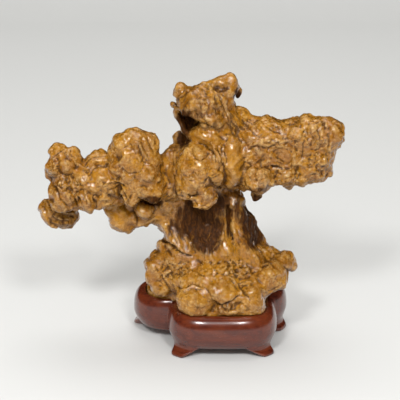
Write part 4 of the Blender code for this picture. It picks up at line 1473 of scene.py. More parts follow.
@dataclass
class ScholarStone:
    """The stone: formations melted together, with their relief, crinkle and colour masks.

    The heights are those of the long waves, of the chips that lie all over it, and of the chips of
    three sizes and the creases that come only where it is crinkled. The forms on the face are
    shifted about by the wobble, and the side that does not show is crinkled evenly.
    """

    AIR_PROBES = ((1.5, 0.3), (4.0, 0.3), (9.0, 0.25), (16.0, 0.15))
    NEAR_RELIEF = 0.22
    WIDE_RELIEF = 0.9
    RELIEF_SHARE = 0.6
    CLEARED_BELOW = 33.0

    seed: int = 11
    wobble: float = 0.6
    hidden_crinkle: float = 0.6
    most_crinkle: float = 1.3
    share_blend: float = 0.8
    wave_height: float = 0.4
    ripple_height: float = 0.25
    even_height: float = 0.25
    broad_height: float = 0.4
    small_height: float = 0.45
    fine_height: float = 0.55
    crease_depth: float = 0.15
    seam_depth: float = 0.12
    end_depth: float = 0.6
    air: StoneField = field(default_factory=lambda: StoneField(SHADE_STEP, Half.WHOLE))

    def lattice(self, number: int) -> Lattice:
        """Returns one of the stone's own lattices, which all follow from its seed."""
        return Lattice(self.seed + number)

    def build(self, step: tuple[float, float, float], half: Half) -> Shell:
        """Makes one half of the stone as a closed shell.

        Args:
            step: how finely it is worked along x, y and z.
            half: which side of the seam.

        Returns:
            The finished shell with its masks.
        """
        stone = StoneField(step, half)
        shell = stone.shell()
        self.settle(stone, shell)
        smooth = shell.normals()
        self.add_relief(shell)
        self.add_crinkle(shell)
        self.tuck(shell, half)
        self.keep_clear(shell)
        self.mask(shell, smooth)
        LOG.info("%s of the stone: %d corners, %d faces", half.name, len(shell.corners), len(shell.faces))
        return shell

    @staticmethod
    def settle(stone: StoneField, shell: Shell) -> None:
        """Moves the corners onto the field's surface, along its slope.

        Args:
            stone: the field.
            shell: the skin to move.
        """
        furthest = 0.6
        shell.corners = shell.averaged(shell.corners, 1)
        for _ in range(2):
            off = np.clip(stone.at(shell.corners), -furthest, furthest)
            shell.corners -= shell.normals() * off[:, None]

    def tuck(self, shell: Shell, half: Half) -> None:
        """Draws a half's skin in past the seam, a little at first and more at its end.

        Args:
            shell: the half's skin.
            half: which half it is.
        """
        past = half.value * (shell.corners[:, 1] - SEAM)
        depth = self.seam_depth * smooth_step(0.0, 1.5, past)
        depth += self.end_depth * smooth_step(OVERLAP - 1.8, OVERLAP, past)
        shell.corners -= shell.normals() * depth[:, None]

    def add_relief(self, shell: Shell) -> None:
        """Raises each formation's own domes and folds along the normals, on the side that shows.

        Args:
            shell: the skin to raise.
        """
        spots = shell.corners
        u = spots[:, 0] + self.wobble * self.lattice(20).noise(spots, 5.0)
        w = spots[:, 2] + math.tan(VIEW_FALL) * (spots[:, 1] - FACE_DEPTH)
        w += self.wobble * self.lattice(21).noise(spots, 5.0)
        normals = shell.averaged(shell.normals(), 2)
        normals /= np.linalg.norm(normals, axis=1, keepdims=True)
        gaps = np.maximum([form.nearness(spots) for form in FORMATIONS], -2.0)
        near = np.exp(-gaps / self.share_blend)
        shares = near / near.sum(axis=0)
        facing = smooth_step(-0.05, 0.35, normals @ VIEWER)
        rise, crinkled, stain_and_shade_level = np.zeros((3, len(u)))
        for form, share in zip(FORMATIONS, shares):
            rise += share * form.relief_at(u, w)
            crinkled += share * form.crinkle_at(u, w)
            stain_and_shade_level += share * form.stain_and_shade_at(u, w)
        shell.masks["crinkled"] = crinkled * facing + (1.0 - facing) * self.hidden_crinkle
        # The mask of the dark patches: mostly painted shade and shadow, a little real stain on the trunk,
        # only on the side that shows.
        shell.masks["stain_and_shade"] = stain_and_shade_level * facing
        shell.masks["fibre"] = shares[FORMATIONS.index(TRUNK)]
        shell.corners = spots + normals * (rise * facing)[:, None]

    def add_crinkle(self, shell: Shell) -> None:
        """Works the whole skin over: soft waves, cobbles, three sizes of chips, trunk furrows.

        A cobble's edge is e^(−6g) deep, g the gap between its two nearest seats, which makes a
        narrow crease round it.

        Args:
            shell: the skin to work over.
        """
        spots = shell.corners
        bend = np.stack([self.lattice(n).noise(spots, 7.0) for n in (1, 2, 3)], axis=1)
        bent = spots + 2.2 * bend
        waves = self.lattice(0)
        near, next_near = self.lattice(4).cobbles(bent, 7.5)
        crease = np.exp(-6.0 * (next_near - near))
        broad = self.lattice(8).facets(bent, 9.0, 0.3)
        small = self.lattice(9).facets(bent, 4.2, 0.28)
        fine = self.lattice(10).facets(spots + 0.8 * bend, 2.5, 0.27)
        amount = np.clip(shell.masks["crinkled"], 0.0, self.most_crinkle)
        chips = self.broad_height * broad + self.small_height * small + self.fine_height * amount * fine
        rise = self.wave_height * waves.noise(spots, 15.0)
        rise += self.ripple_height * waves.noise(spots + 40.0, 8.0)
        rise += self.even_height * broad + amount * (chips - self.crease_depth * crease)
        rise += self.furrows(spots) * shell.masks["fibre"]
        shell.corners = spots + shell.normals() * rise[:, None]

    def furrows(self, spots: Array) -> Array:
        """Long furrows that run down the trunk and flare out at its foot.

        Their place round the trunk is the angle plus a slow drift with height; each furrow is
        1 − |noise| stretched seven times down the trunk.

        Args:
            spots: points, one row each.

        Returns:
            A height for each point.
        """
        flare = 1.0 + 0.55 * smooth_step(80.0, 55.0, spots[:, 2])
        x = (spots[:, 0] - 8.0) / flare
        y = (spots[:, 1] - 9.0) / flare
        drawn = np.stack([x + 0.05 * spots[:, 2], y, spots[:, 2] / 7.0], axis=1)
        coarse = 1.0 - np.abs(self.lattice(6).noise(drawn, 4.2)) * 2.0
        fine = 1.0 - np.abs(self.lattice(7).noise(drawn + 30.0, 2.2)) * 2.0
        return 0.35 * coarse + 0.3 * fine - 0.3

    def keep_clear(self, shell: Shell) -> None:
        """Lifts or draws in what the relief has pushed into the stand's wood.

        Args:
            shell: the skin to clear.
        """
        room = SeatRoom()
        low = shell.corners[:, 2] < self.CLEARED_BELOW
        spots = shell.corners[low]
        short = np.maximum(SEAT_GAP - room.clearance(spots), 0.0)
        over_rim = room.inset(spots) < room.WALL
        spots[:, 2] += np.where(over_rim, short / room.RIM_STEEPNESS, 0.0)
        inwards = np.array(STAND_MIDDLE) - spots[:, :2]
        inwards /= np.maximum(np.linalg.norm(inwards, axis=1, keepdims=True), 1e-6)
        spots[:, :2] += inwards * np.where(over_rim, 0.0, short)[:, None]
        shell.corners[low] = spots

    def mask(self, shell: Shell, smooth: Array) -> None:
        """Adds the masks of the shape to those of the formations, and keeps them all from 0 to 1.

        hollow is how much of the open air near a corner is stone, crease how far it lies below the
        stone about it, ridge how far above, and under how far it looks down.

        Args:
            shell: the finished shell.
            smooth: the normals that its corners had before the relief.
        """
        reached = np.zeros(len(shell.corners))
        for gap, weight in self.AIR_PROBES:
            reached += weight * np.clip(self.air.at(shell.corners + smooth * gap) / gap, 0.0, 1.0)
        near, wide = shell.standing_out(4), shell.standing_out(24)
        relief = self.RELIEF_SHARE * (near / self.NEAR_RELIEF + wide / self.WIDE_RELIEF)
        shell.masks["crease"] = -relief
        shell.masks["ridge"] = relief
        shell.masks["under"] = smooth_step(-0.1, -0.8, shell.normals()[:, 2])
        shell.masks["hollow"] = 1.0 - reached
        shell.masks = {name: np.clip(mask, 0.0, 1.0) for name, mask in shell.masks.items()}


# ---------------------------------------------------------------- the stand

@dataclass
class CarvedStand:
    """The stand: four lobes with a rolled rim, a pocket for the stone, arched aprons and toes."""

    steps_round: int = 560
    rim_steps: int = 16
    apron_steps: int = 30
    underside_steps: int = 8
    turnout_top: float = 7.0
    turnout_foot: float = 1.5

    def angles(self) -> Array:
        """Angles of the sections, with each crease between two lobes met exactly.

        Returns:
            The angles in radians, in order.
        """
        even = np.linspace(0.0, 2.0 * math.pi, self.steps_round, endpoint=False)
        winner = np.argmax([lobe.reach(even) for lobe in LOBES], axis=0)
        for index in np.flatnonzero(winner != np.roll(winner, -1)):
            low = even[index]
            high = low + even[1]
            for _ in range(30):
                middle = (low + high) / 2.0
                best = np.argmax([lobe.reach(np.array([middle]))[0] for lobe in LOBES])
                low, high = (middle, high) if best == winner[index] else (low, middle)
            nearest = index if middle - even[index] < even[1] / 2.0 else (index + 1) % len(even)
            even[nearest] = middle % (2.0 * math.pi)
        return np.sort(even)

    @staticmethod
    def toes(angles: Array, reach: Array) -> tuple[Array, Array]:
        """Finds the toes round the stand.

        Args:
            angles: the sections' angles.
            reach: the belly's radius at each.

        Returns:
            1 on a toe and 0 on the apron with a smooth step between the two, and how far the foot
            of the toe is turned out sideways.
        """
        share, swing = np.zeros((2, len(angles)))
        for toe, sway in zip(TOE_ANGLES, TOE_SWINGS):
            off = np.abs((angles - math.radians(toe) + math.pi) % (2.0 * math.pi) - math.pi) * reach
            on_toe = 1.0 - smooth_step(TOE_HALF_WIDTH, TOE_HALF_WIDTH + TOE_SHOULDER, off)
            share = np.maximum(share, on_toe)
            swing += sway * on_toe
        return share, swing

    def section(self, toe: Array) -> tuple[Array, Array]:
        """The stand's section at each angle, from the seat over the rim to the underside.

        Args:
            toe: how far each angle is on a toe, 0 to 1.

        Returns:
            The distances in from the belly and the heights, a row for each angle. The part below
            the belly is blended between the apron's curve and the toe's.
        """
        wall, shelf, lip = RIM_WIDTH + 0.25, SEAT_FLOOR + 0.6, RIM_HEIGHT - 1.3
        line = [(RIM_WIDTH + 14.0, SEAT_FLOOR), (RIM_WIDTH + 0.8, SEAT_FLOOR), (wall, shelf)]
        line += [(wall, shelf + part * (lip - shelf)) for part in (0.35, 0.7, 0.9, 1.0)]
        for swing in np.array([0.3, 0.6, 0.85]) * math.pi / 2.0:
            line.append((wall - 1.1 * (1.0 - math.cos(swing)), lip + 1.2 * math.sin(swing)))
        for swing in np.linspace(math.radians(84.0), 0.0, self.rim_steps):
            line.append((RIM_WIDTH * (1.0 - math.cos(swing) ** RIM_ROUNDNESS), rim_height(swing)))
        apron = ((0.0, BELLY_HEIGHT), (0.2, 13.5), (0.8, 11.6), (1.8, 9.6), (3.0, 7.8), (4.4, APRON_HEIGHT))
        apron += ((7.0, 6.8), (14.0, HOLLOW_HEIGHT), (19.0, HOLLOW_HEIGHT))
        leg = ((0.0, BELLY_HEIGHT), (0.3, 13.2), (1.3, 10.0), (2.3, 6.8), (1.8, 4.2), (-0.3, 2.2))
        leg += ((0.3, 0.0), (9.0, 0.0), (16.0, HOLLOW_HEIGHT))
        down = np.linspace(0.2, 6.0, self.apron_steps)
        under = np.linspace(6.25, 8.0, self.underside_steps)
        for place in (*down, *under):
            low, high = (self.eased(np.array(side), place) for side in (apron, leg))
            inset, height = low[:, None] + (high - low)[:, None] * toe
            line.append((inset, np.maximum(height, 0.0)))
        rows = [[np.broadcast_to(side, len(toe)) for side in point] for point in line]
        inset, height = np.transpose(rows, (1, 2, 0))
        return inset, height

    @staticmethod
    def eased(values: Array, place: float) -> Array:
        """The row at a place between rows, on the cubic through their mean slopes.

        Args:
            values: the rows.
            place: a row's number with a fraction.

        Returns:
            The blended row.
        """
        slopes = np.gradient(values, axis=0)
        first = min(int(place), len(values) - 2)
        part = place - first
        rise = values[first + 1] - values[first]
        steep = 3.0 * rise - 2.0 * slopes[first] - slopes[first + 1]
        turn = slopes[first] + slopes[first + 1] - 2.0 * rise
        return values[first] + part * (slopes[first] + part * (steep + part * turn))

    def build(self) -> Shell:
        """Sets the sections round the middle and draws both ends shut.

        Returns:
            The stand's closed shell.
        """
        angles = self.angles()
        reach = belly_reach(angles)
        toe, swing = self.toes(angles, reach)
        inset, height = self.section(toe)
        swing = swing[:, None] * (1.0 - smooth_step(self.turnout_foot, self.turnout_top, height))
        angles = angles[:, None]
        x, y = round_middle(reach[:, None] - inset, angles)
        grid = np.stack([x - swing * np.sin(angles), y + swing * np.cos(angles), height], axis=-1)
        index = np.arange(height.size).reshape(height.shape)
        onward = np.roll(index, -1, axis=0)
        sides = np.stack([index[:, :-1], index[:, 1:], onward[:, 1:], onward[:, :-1]], axis=-1)
        corners, caps = self.close_ends(grid.reshape(-1, 3), index)
        shell = Shell(corners, np.concatenate([sides.reshape(-1, 4), caps]))
        wide = shell.standing_out(16)
        shell.masks["crease"] = np.clip(-wide / 0.25, 0.0, 1.0)
        shell.masks["ridge"] = np.clip(wide / 0.35, 0.0, 1.0)
        LOG.info("stand: %d corners, %d faces", len(shell.corners), len(shell.faces))
        return shell

    @staticmethod
    def close_ends(corners: Array, index: Array) -> tuple[Array, Array]:
        """Closes the seat's floor and the underside with faces from each rim pair to one middle.

        Args:
            corners: the sections' corners.
            index: their numbers, a row for each section.

        Returns:
            The corners with two middles added, and the faces, each over two steps of the rim.
        """
        caps = []
        for column, way in ((0, 1), (-1, -1)):
            ring = index[:, column]
            middle = np.full(len(ring) // 2, len(corners))
            corners = np.vstack([corners, corners[ring].mean(axis=0)])
            cap = np.stack([ring[0::2], ring[1::2], np.roll(ring[0::2], -1), middle], axis=1)
            caps.append(cap[:, ::way])
        return corners, np.concatenate(caps)


# ---------------------------------------------------------------- finishes

class Mottle(Enum):
    """The named sizes of mottling, as noise scales over a metre."""

    CLOUDY = 60.0
    PATCHY = 170.0
    BENT = 240.0
    CHIPPED = 380.0
    GRAINY = 800.0


class Sheet:
    """A node tree in the making, laid out left to right."""

    def __init__(self, tree: bpy.types.NodeTree) -> None:
        """Starts on an empty tree."""
        self.tree = tree
        tree.nodes.clear()

    def add(self, kind: str, settings: dict | None = None, **sockets: object) -> bpy.types.Node:
        """Adds a node, sets it and links or fills its sockets.

        Args:
            kind: the node's type.
            settings: its properties.
            **sockets: values or output sockets for its inputs, by name with _ for a space.

        Returns:
            The node.
        """
        node = self.tree.nodes.new(kind)
        row, column = divmod(len(self.tree.nodes), 9)
        node.location = (220.0 * column, -180.0 * row)
        for name, value in (settings or {}).items():
            setattr(node, name, value)
        for name, value in sockets.items():
            self.feed(node, name.replace("_", " "), value)
        return node

    def feed(self, node: bpy.types.Node, key: str | int, value: object) -> None:
        """Links an input to an output, or sets its value.

        Args:
            node: the node.
            key: the input's name or number.
            value: the output or the value.
        """
        socket = node.inputs[key]
        if isinstance(value, Socket):
            self.tree.links.new(value, socket)
        elif isinstance(value, tuple) and socket.type == "RGBA":
            socket.default_value = (*value, 1.0)
        else:
            socket.default_value = value

    def numbered(self, kind: str, settings: dict, values: dict[int, object]) -> bpy.types.Node:
        """Adds a node whose inputs are linked or filled by their numbers.

        Args:
            kind: the node's type.
            settings: its own settings.
            values: an output or a value for each number.

        Returns:
            The node.
        """
        node = self.add(kind, settings)
        for number, value in values.items():
            self.feed(node, number, value)
        return node

    def work(self, how: str, *values: object, clamp: bool = False) -> Socket:
        """Returns the result of a named operation on numbers."""
        settings = {"operation": how, "use_clamp": clamp}
        return self.numbered("ShaderNodeMath", settings, dict(enumerate(values))).outputs[0]

    def vector(self, how: str, *values: object) -> bpy.types.Node:
        """Returns the node of a named operation on vectors."""
        return self.numbered("ShaderNodeVectorMath", {"operation": how}, dict(enumerate(values)))

    def sum(self, one: object, other: object) -> Socket:
        """Returns the sum of two numbers, kept from 0 to 1."""
        return self.work("ADD", one, other, clamp=True)

    def times(self, one: object, other: object) -> Socket:
        """Returns the product of two numbers, kept from 0 to 1."""
        return self.work("MULTIPLY", one, other, clamp=True)

    def most(self, one: object, other: object) -> Socket:
        """Returns the greater of two numbers, kept from 0 to 1."""
        return self.work("MAXIMUM", one, other, clamp=True)

    def weighed(self, *pairs: tuple[Socket, float]) -> Socket:
        """Sum of numbers times their weights, not kept to any range.

        Args:
            pairs: each number and its weight.

        Returns:
            The sum.
        """
        total = 0.0
        for value, weight in pairs:
            total = self.work("MULTIPLY_ADD", value, weight, total)
        return total

    def ramp(self, factor: Socket, low: float, high: float) -> Socket:
        """Stretches a factor with a smooth step.

        Args:
            factor: the factor.
            low: where it becomes 0.
            high: where it becomes 1.

        Returns:
            The stretched factor.
        """
        settings = {"interpolation_type": "SMOOTHSTEP"}
        sockets = {"Value": factor, "From Min": low, "From Max": high}
        return self.add("ShaderNodeMapRange", settings, **sockets).outputs["Result"]

    def mix(self, factor: object, one: object, other: object) -> Socket:
        """Returns two colours mixed by a factor."""
        inputs = {0: factor, 6: one, 7: other}
        return self.numbered("ShaderNodeMix", {"data_type": "RGBA"}, inputs).outputs[2]

    def layered(self, tone: object, *coats: tuple[Socket, object]) -> Socket:
        """Lays coats of other tones over a tone in turn.

        Args:
            tone: the tone below.
            coats: each coat's share and its tone.

        Returns:
            The tone on top.
        """
        for share, other in coats:
            tone = self.mix(share, tone, other)
        return tone

    def attribute(self, name: str) -> Socket:
        """Returns the mesh mask of a name."""
        return self.add("ShaderNodeAttribute", {"attribute_name": name}).outputs["Fac"]

    def stretched(self, where: Socket, *scale: float) -> Socket:
        """Returns places scaled along x, y and z."""
        return self.add("ShaderNodeMapping", Vector=where, Scale=scale).outputs[0]

    def noise(self, where: Socket, scale: float, detail: float = 4.0, rough: float = 0.55) -> Socket:
        """Returns the output of a noise texture of one scale."""
        node = self.add("ShaderNodeTexNoise", Vector=where, Scale=scale, Detail=detail, Roughness=rough)
        return node.outputs["Fac"]

    def bent(self, where: Socket, scale: float, amount: float) -> Socket:
        """Returns places moved this way and that by a noise, by up to an amount in metres."""
        wander = self.add("ShaderNodeTexNoise", Vector=where, Scale=scale, Detail=1.0).outputs["Color"]
        return self.vector("MULTIPLY_ADD", wander, (amount,) * 3, where).outputs[0]

    def veins(self, where: Socket, scale: float, width: float) -> Socket:
        """Returns 1 on thin winding lines, which run where a noise passes its middle value."""
        away = self.work("ABSOLUTE", self.work("SUBTRACT", self.noise(where, scale, 3.0, 0.6), 0.5))
        return self.ramp(away, width, 0.0)

    def chips(self, where: Socket, scale: float) -> tuple[Socket, Socket]:
        """Flat chips of stone that each tilt their own way.

        Args:
            where: the places.
            scale: chips to a metre.

        Returns:
            The chips' height in millimetres, and a number of its own from 0 to 1 for each chip.
        """
        cells = self.add("ShaderNodeTexVoronoi", Vector=where, Scale=scale)
        off = self.vector("SUBTRACT", where, cells.outputs["Position"]).outputs[0]
        lean = self.vector("SUBTRACT", cells.outputs["Color"], (0.5, 0.5, 0.5)).outputs[0]
        height = self.work("MULTIPLY", self.vector("DOT_PRODUCT", off, lean).outputs["Value"], 1.0 / MM)
        return height, self.add("ShaderNodeSeparateColor", Color=cells.outputs["Color"]).outputs[1]

    def worn_and_lit(self, group: bpy.types.NodeTree, where: Socket, scale: float, amount: float) -> Socket:
        """Returns the ridge mask, broken up by the group at a scale: paler ridges, partly wear and partly
        painted highlight.
        """
        sockets = {"Vector": where, "Mask": self.attribute("ridge"), "Scale": scale, "Amount": amount}
        return self.add("ShaderNodeGroup", {"node_tree": group}, **sockets).outputs["Worn"]

    def shade(self, bump: bpy.types.Node, **sockets: object) -> None:
        """Adds the material's shader, with its bump and its other sockets, and the output."""
        shader = self.add("ShaderNodeBsdfPrincipled", Normal=bump.outputs[0], **sockets)
        self.add("ShaderNodeOutputMaterial", Surface=shader.outputs[0])


def new_material(name: str) -> tuple[bpy.types.Material, Sheet, Socket]:
    """Starts a material.

    Args:
        name: the material's name.

    Returns:
        The material, the sheet of its nodes and the object's coordinates on it.
    """
    made = bpy.data.materials.new(name)
    made.use_nodes = True
    sheet = Sheet(made.node_tree)
    return made, sheet, sheet.add("ShaderNodeTexCoord").outputs["Object"]


def worn_and_lit_group() -> bpy.types.NodeTree:
    """Breaks up an edge mask with noise, for stone and wood: paler ridges, partly wear and partly painted
    highlight.

    Returns:
        The node group.
    """
    tree = bpy.data.node_groups.new("Worn Edges", "ShaderNodeTree")
    tree.interface.new_socket("Vector", in_out="INPUT", socket_type="NodeSocketVector")
    for name in ("Mask", "Scale", "Amount"):
        tree.interface.new_socket(name, in_out="INPUT", socket_type="NodeSocketFloat")
    tree.interface.new_socket("Worn", in_out="OUTPUT", socket_type="NodeSocketFloat")
    sheet = Sheet(tree)
    inner = sheet.add("NodeGroupInput").outputs
    noise = sheet.add("ShaderNodeTexNoise", Vector=inner["Vector"], Scale=inner["Scale"], Detail=3.0)
    broken = sheet.ramp(noise.outputs["Fac"], 0.35, 0.65)
    sheet.add("NodeGroupOutput", Worn=sheet.times(sheet.times(inner["Mask"], broken), inner["Amount"]))
    return tree


@dataclass(frozen=True)
class StoneFinish:
    """Honey-brown stone with a waxy shine: painted shade in its creases, hollows and undersides, paler
    ridges that are partly wear and partly painted highlight, and a few painted glints.
    """

    honey: Colour = (0.40, 0.165, 0.008)
    amber: Colour = (0.26, 0.09, 0.004)
    tan: Colour = (0.48, 0.225, 0.028)
    pale_wear_and_highlight: Colour = (0.76, 0.51, 0.20)
    umber: Colour = (0.035, 0.011, 0.001)
    bark: Colour = (0.085, 0.027, 0.002)
    underside_shade: Colour = (0.15, 0.095, 0.055)
    rough: float = 0.14
    fleck: float = 0.3
    painted_glint: float = 0.3
    speck: float = 0.5
    crease_shade: float = 0.75
    hollow_shade: float = 0.85

    def make(self, worn_and_lit: bpy.types.NodeTree) -> bpy.types.Material:
        """Returns the stone's material.

        Args:
            worn_and_lit: the group that breaks up an edge mask into paler ridges, partly wear and partly
                painted highlight.

        Returns:
            A material that reads the stone's masks and object coordinates.
        """
        made, sheet, where = new_material("honey stone")
        times, ramp = sheet.times, sheet.ramp
        fibre, under = sheet.attribute("fibre"), sheet.attribute("under")
        bent = sheet.bent(where, Mottle.BENT.value, 0.003)
        broad, broad_own = sheet.chips(bent, Mottle.CHIPPED.value)
        small, small_own = sheet.chips(bent, Mottle.GRAINY.value)
        drawn = sheet.stretched(bent, 1.0, 1.0, 0.12)
        strands = sheet.noise(drawn, Mottle.GRAINY.value, 3.0, 0.6)
        runs = sheet.noise(drawn, Mottle.CHIPPED.value, 3.0, 0.6)
        cloudy = ramp(sheet.noise(where, Mottle.CLOUDY.value), 0.38, 0.62)
        patchy = ramp(sheet.noise(where, Mottle.PATCHY.value, 5.0, 0.6), 0.4, 0.62)
        rugged = sheet.work("MULTIPLY_ADD", sheet.attribute("crinkled"), 0.8, 0.2, clamp=True)
        fleck = times(rugged, self.fleck)
        hairs = times(sheet.veins(bent, Mottle.CHIPPED.value, 0.05), rugged)
        lined = sheet.most(sheet.veins(bent, Mottle.PATCHY.value, 0.035), hairs)
        # Painted shade: the creases and the hollows closed in by stone are darkened towards umber.
        dark = times(ramp(sheet.attribute("crease"), 0.3, 0.95), self.crease_shade)
        deep = times(ramp(sheet.attribute("hollow"), 0.55, 0.92), self.hollow_shade)
        # The dark patches laid on last: mostly painted shade and shadow, partly the trunk's real darker
        # stone, streaked along the fibres.
        stain_and_shade_level = sheet.work("SUBTRACT", sheet.attribute("stain_and_shade"), 0.9)
        stain_and_shade = ramp(sheet.work("MULTIPLY_ADD", runs, 1.8, stain_and_shade_level), 0.1, 0.9)
        stain_and_shade_tone = sheet.mix(ramp(strands, 0.4, 0.68), self.umber, self.bark)
        colour = sheet.layered(
            self.honey,
            (cloudy, self.amber),
            (times(patchy, 0.35), self.tan),
            (times(ramp(small_own, 0.35, 1.0), fleck), self.tan),
            (times(ramp(broad_own, 0.5, 0.0), fleck), self.amber),
            # Paler ridges: partly wear, partly painted highlight.
            (sheet.worn_and_lit(worn_and_lit, where, 240.0, 0.35), self.pale_wear_and_highlight),
            # Painted highlights: pale glints on a few small chips where the stone is crinkled.
            (times(ramp(small_own, 0.8, 0.9), times(rugged, self.painted_glint)), self.pale_wear_and_highlight),
            # Painted shade: faces that look down are greyed and darkened.
            (times(under, 0.4), self.underside_shade),
            (times(lined, 0.35), self.umber),
            (times(ramp(small_own, 0.16, 0.08), times(rugged, self.speck)), self.umber),
            # painted shade in the creases and the hollows
            (dark, self.umber),
            (deep, self.umber),
            (stain_and_shade, stain_and_shade_tone),
            (times(ramp(strands, 0.5, 0.34), times(fibre, 0.45)), self.umber),
        )
        dull = sheet.most(sheet.most(dark, deep), stain_and_shade)
        rough = sheet.sum(sheet.sum(times(small_own, 0.2), self.rough), times(dull, 0.4))
        grain, strand = times(small, rugged), times(strands, fibre)
        height = sheet.weighed((broad, 0.03), (grain, 0.45), (lined, -0.03), (strand, 0.1))
        bump = sheet.add("ShaderNodeBump", Strength=1.0, Distance=0.001, Height=height)
        coat = sheet.work("SUBTRACT", 1.0, sheet.most(dull, times(under, 0.75)))
        sheet.shade(
            bump, Base_Color=colour, Roughness=rough, IOR=1.45, Specular_IOR_Level=0.15,
            Coat_Weight=coat, Coat_Roughness=0.07, Coat_Normal=bump.outputs[0],
        )
        return made


@dataclass(frozen=True)
class WoodFinish:
    """Dark red-brown hardwood, waxed and rubbed until it shines; its creases tinted a warmer orange as
    painted shade, its ridges paler, partly wear and partly painted highlight.
    """

    heart: Colour = (0.115, 0.018, 0.006)
    vein: Colour = (0.05, 0.008, 0.004)
    warm_shade_wear_and_highlight: Colour = (0.26, 0.055, 0.013)
    rough: float = 0.14

    def make(self, worn_and_lit: bpy.types.NodeTree) -> bpy.types.Material:
        """Returns the wood's material.

        Args:
            worn_and_lit: the group that breaks up an edge mask into paler ridges, partly wear and partly
                painted highlight.

        Returns:
            A material with a grain that runs across the stand.
        """
        made, sheet, where = new_material("rubbed hardwood")
        drawn = sheet.stretched(where, 1.0, 7.0, 7.0)
        grain = sheet.ramp(sheet.noise(drawn, 75.0, 6.0, 0.65), 0.35, 0.65)
        pores = sheet.noise(drawn, 330.0, 2.0, 0.5)
        colour = sheet.layered(
            self.heart,
            (sheet.times(grain, 0.75), self.vein),
            # Painted shade: the creases tinted the warmer orange that the wood shows in shade.
            (sheet.times(sheet.attribute("crease"), 0.35), self.warm_shade_wear_and_highlight),
            # Paler ridges: partly wear, partly painted highlight.
            (sheet.worn_and_lit(worn_and_lit, where, 90.0, 0.5), self.warm_shade_wear_and_highlight),
        )
        rough = sheet.sum(sheet.times(pores, 0.2), self.rough)
        bump = sheet.add("ShaderNodeBump", Strength=0.12, Distance=0.0002, Height=pores)
        sheet.shade(
            bump, Base_Color=colour, Roughness=rough, IOR=1.52,
            Coat_Weight=0.5, Coat_Roughness=0.14,
        )
        return made


@dataclass(frozen=True)
class PaperFinish:
    """Matt pale paper for the floor."""

    tone: Colour = (0.665, 0.665, 0.65)
    rough: float = 0.9

    def make(self) -> bpy.types.Material:
        """Makes the paper.

        Returns:
            Its material.
        """
        made = bpy.data.materials.new("studio paper")
        made.use_nodes = True
        shader = made.node_tree.nodes["Principled BSDF"]
        shader.inputs["Base Color"].default_value = (*self.tone, 1.0)
        shader.inputs["Roughness"].default_value = self.rough
        return made


# ---------------------------------------------------------------- stage

@dataclass(frozen=True)
class Lamp:
    """A square soft lamp: its way from the stone in degrees, its distance, width and power."""

    name: str
    round: float
    up: float
    distance: float
    width: float
    watts: float

    def way(self) -> Array:
        """Direction to the lamp; round is 0 in front and grows to the right.

        Returns:
            A vector of length 1.
        """
        turn, rise = math.radians(self.round), math.radians(self.up)
        level = math.cos(rise)
        return np.array([math.sin(turn) * level, -math.cos(turn) * level, math.sin(rise)])


LAMPS = (
    Lamp("left box", -19.0, 41.0, 1500.0, 560.0, 1.4),
    Lamp("left core", -19.0, 41.0, 1450.0, 230.0, 9.0),
    Lamp("right box", 15.0, 41.0, 1500.0, 560.0, 1.4),
    Lamp("right core", 15.0, 41.0, 1450.0, 210.0, 7.2),
    Lamp("back box", 180.0, 76.0, 1500.0, 900.0, 7.5),
)


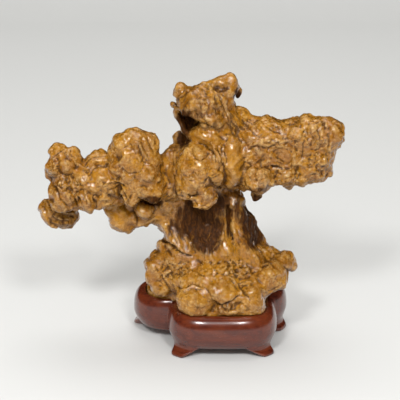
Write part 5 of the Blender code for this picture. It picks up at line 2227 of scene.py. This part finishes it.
@dataclass
class Studio:
    """The paper sheets, the lamps and the camera."""

    target: tuple[float, float, float] = (5.2, 0.0, 96.7)
    lit_middle: tuple[float, float, float] = (0.0, 0.0, 90.0)
    distance: float = 1000.0
    frame_width: float = 260.0
    sensor: float = 36.0
    sheet_half: float = 2500.0
    sweep_back: float = 900.0
    sweep_round: float = 500.0
    sweep_top: float = 2600.0
    sweep_points: int = 25
    clip_end: float = 50.0
    fill: float = 0.56
    air_tone: Colour = (1.0, 1.0, 0.99)

    def aim(self, thing: bpy.types.Object, eye: Array, target: Array) -> None:
        """Puts a lamp or camera at eye and turns it so that it looks at target."""
        thing.location = Vector(eye)
        thing.rotation_euler = (Vector(target) - Vector(eye)).to_track_quat("-Z", "Y").to_euler()

    def set_camera(self, shop: Shop) -> None:
        """Puts the camera in front, looking down on the stone by the angle of the view.

        Args:
            shop: the shop that places it.
        """
        lens = bpy.data.cameras.new("camera")
        lens.sensor_width = self.sensor
        lens.lens = self.sensor * self.distance / self.frame_width
        lens.clip_end = self.clip_end
        camera = shop.link("camera", lens)
        eye = np.array(self.target) + VIEWER * self.distance
        self.aim(camera, shop.place(eye), shop.place(self.target))
        bpy.context.scene.camera = camera

    def lay_floor(self, shop: Shop, finish: bpy.types.Material) -> None:
        """Lays a table sheet, and behind it one that goes round a quarter circle and up.

        Args:
            shop: the shop that makes them.
            finish: the paper.
        """
        turn = np.linspace(0.0, math.pi / 2.0, self.sweep_points)
        furthest = self.sweep_back + self.sweep_round
        y = np.append(self.sweep_back + self.sweep_round * np.sin(turn), furthest)
        z = np.append(self.sweep_round * (1.0 - np.cos(turn)), self.sweep_top)
        table = np.array([-self.sheet_half, 0.0, self.sweep_back])
        self.lay_sheet(shop, "table sheet", table, np.zeros(3), finish)
        rising = self.lay_sheet(shop, "rising sheet", y, z, finish)
        rising.visible_glossy = False

    def lay_sheet(
        self, shop: Shop, name: str, y: Array, z: Array, finish: bpy.types.Material,
    ) -> bpy.types.Object:
        """Lays one sheet of paper.

        Args:
            shop: what makes the object.
            name: the object's name.
            y: how far back the sheet's profile runs, in millimetres.
            z: the profile's heights.
            finish: the paper's material.

        Returns:
            The sheet.
        """
        left = np.stack([np.full(len(y), -self.sheet_half), y, z], axis=1)
        right = left * (-1.0, 1.0, 1.0)
        index = np.arange(len(y) - 1)
        faces = np.stack([index, index + len(y), index + len(y) + 1, index + 1], axis=1)
        sheet = shop.make(name, Shell(np.concatenate([left, right]), faces), finish)
        return sheet

    def light(self, shop: Shop) -> None:
        """Hangs the lamps round the stone and fills the room with a little even light.

        Args:
            shop: the shop that places them.
        """
        middle = np.array(self.lit_middle)
        for lamp in LAMPS:
            light = bpy.data.lights.new(lamp.name, "AREA")
            light.shape = "SQUARE"
            light.size = lamp.width * MM
            light.energy = lamp.watts
            thing = shop.link(lamp.name, light)
            self.aim(thing, shop.place(middle + lamp.way() * lamp.distance), shop.place(middle))
        world = bpy.data.worlds.new("studio")
        bpy.context.scene.world = world
        world.use_nodes = True
        air = world.node_tree.nodes["Background"]
        air.inputs["Color"].default_value = (*self.air_tone, 1.0)
        air.inputs["Strength"].default_value = self.fill
        world.cycles_visibility.glossy = False
        bpy.context.scene.view_settings.view_transform = "Standard"


def main() -> None:
    """Builds the stone, the stand and the studio, and reports each piece."""
    logging.basicConfig(level=logging.INFO, format="%(name)s: %(message)s")
    shop = Shop()
    studio = Studio()
    studio.set_camera(shop)
    worn_and_lit = worn_and_lit_group()
    sculptor = ScholarStone()
    honey = StoneFinish().make(worn_and_lit)
    for name, step, half in (
        ("stone_front", FRONT_STEP, Half.FRONT),
        ("stone_back", BACK_STEP, Half.BACK),
    ):
        stone = shop.make(name, sculptor.build(step, half), honey)
        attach(stone, "root")
        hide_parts("rock")
        LOG.info("%s stands for the rock", stone.name)
    stand = shop.make("carved_stand", CarvedStand().build(), WoodFinish().make(worn_and_lit))
    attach(stand, "root")
    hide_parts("stand")
    LOG.info("%s stands for the stand", stand.name)
    studio.lay_floor(shop, PaperFinish().make())
    studio.light(shop)


if __name__ == "__main__":
    main()
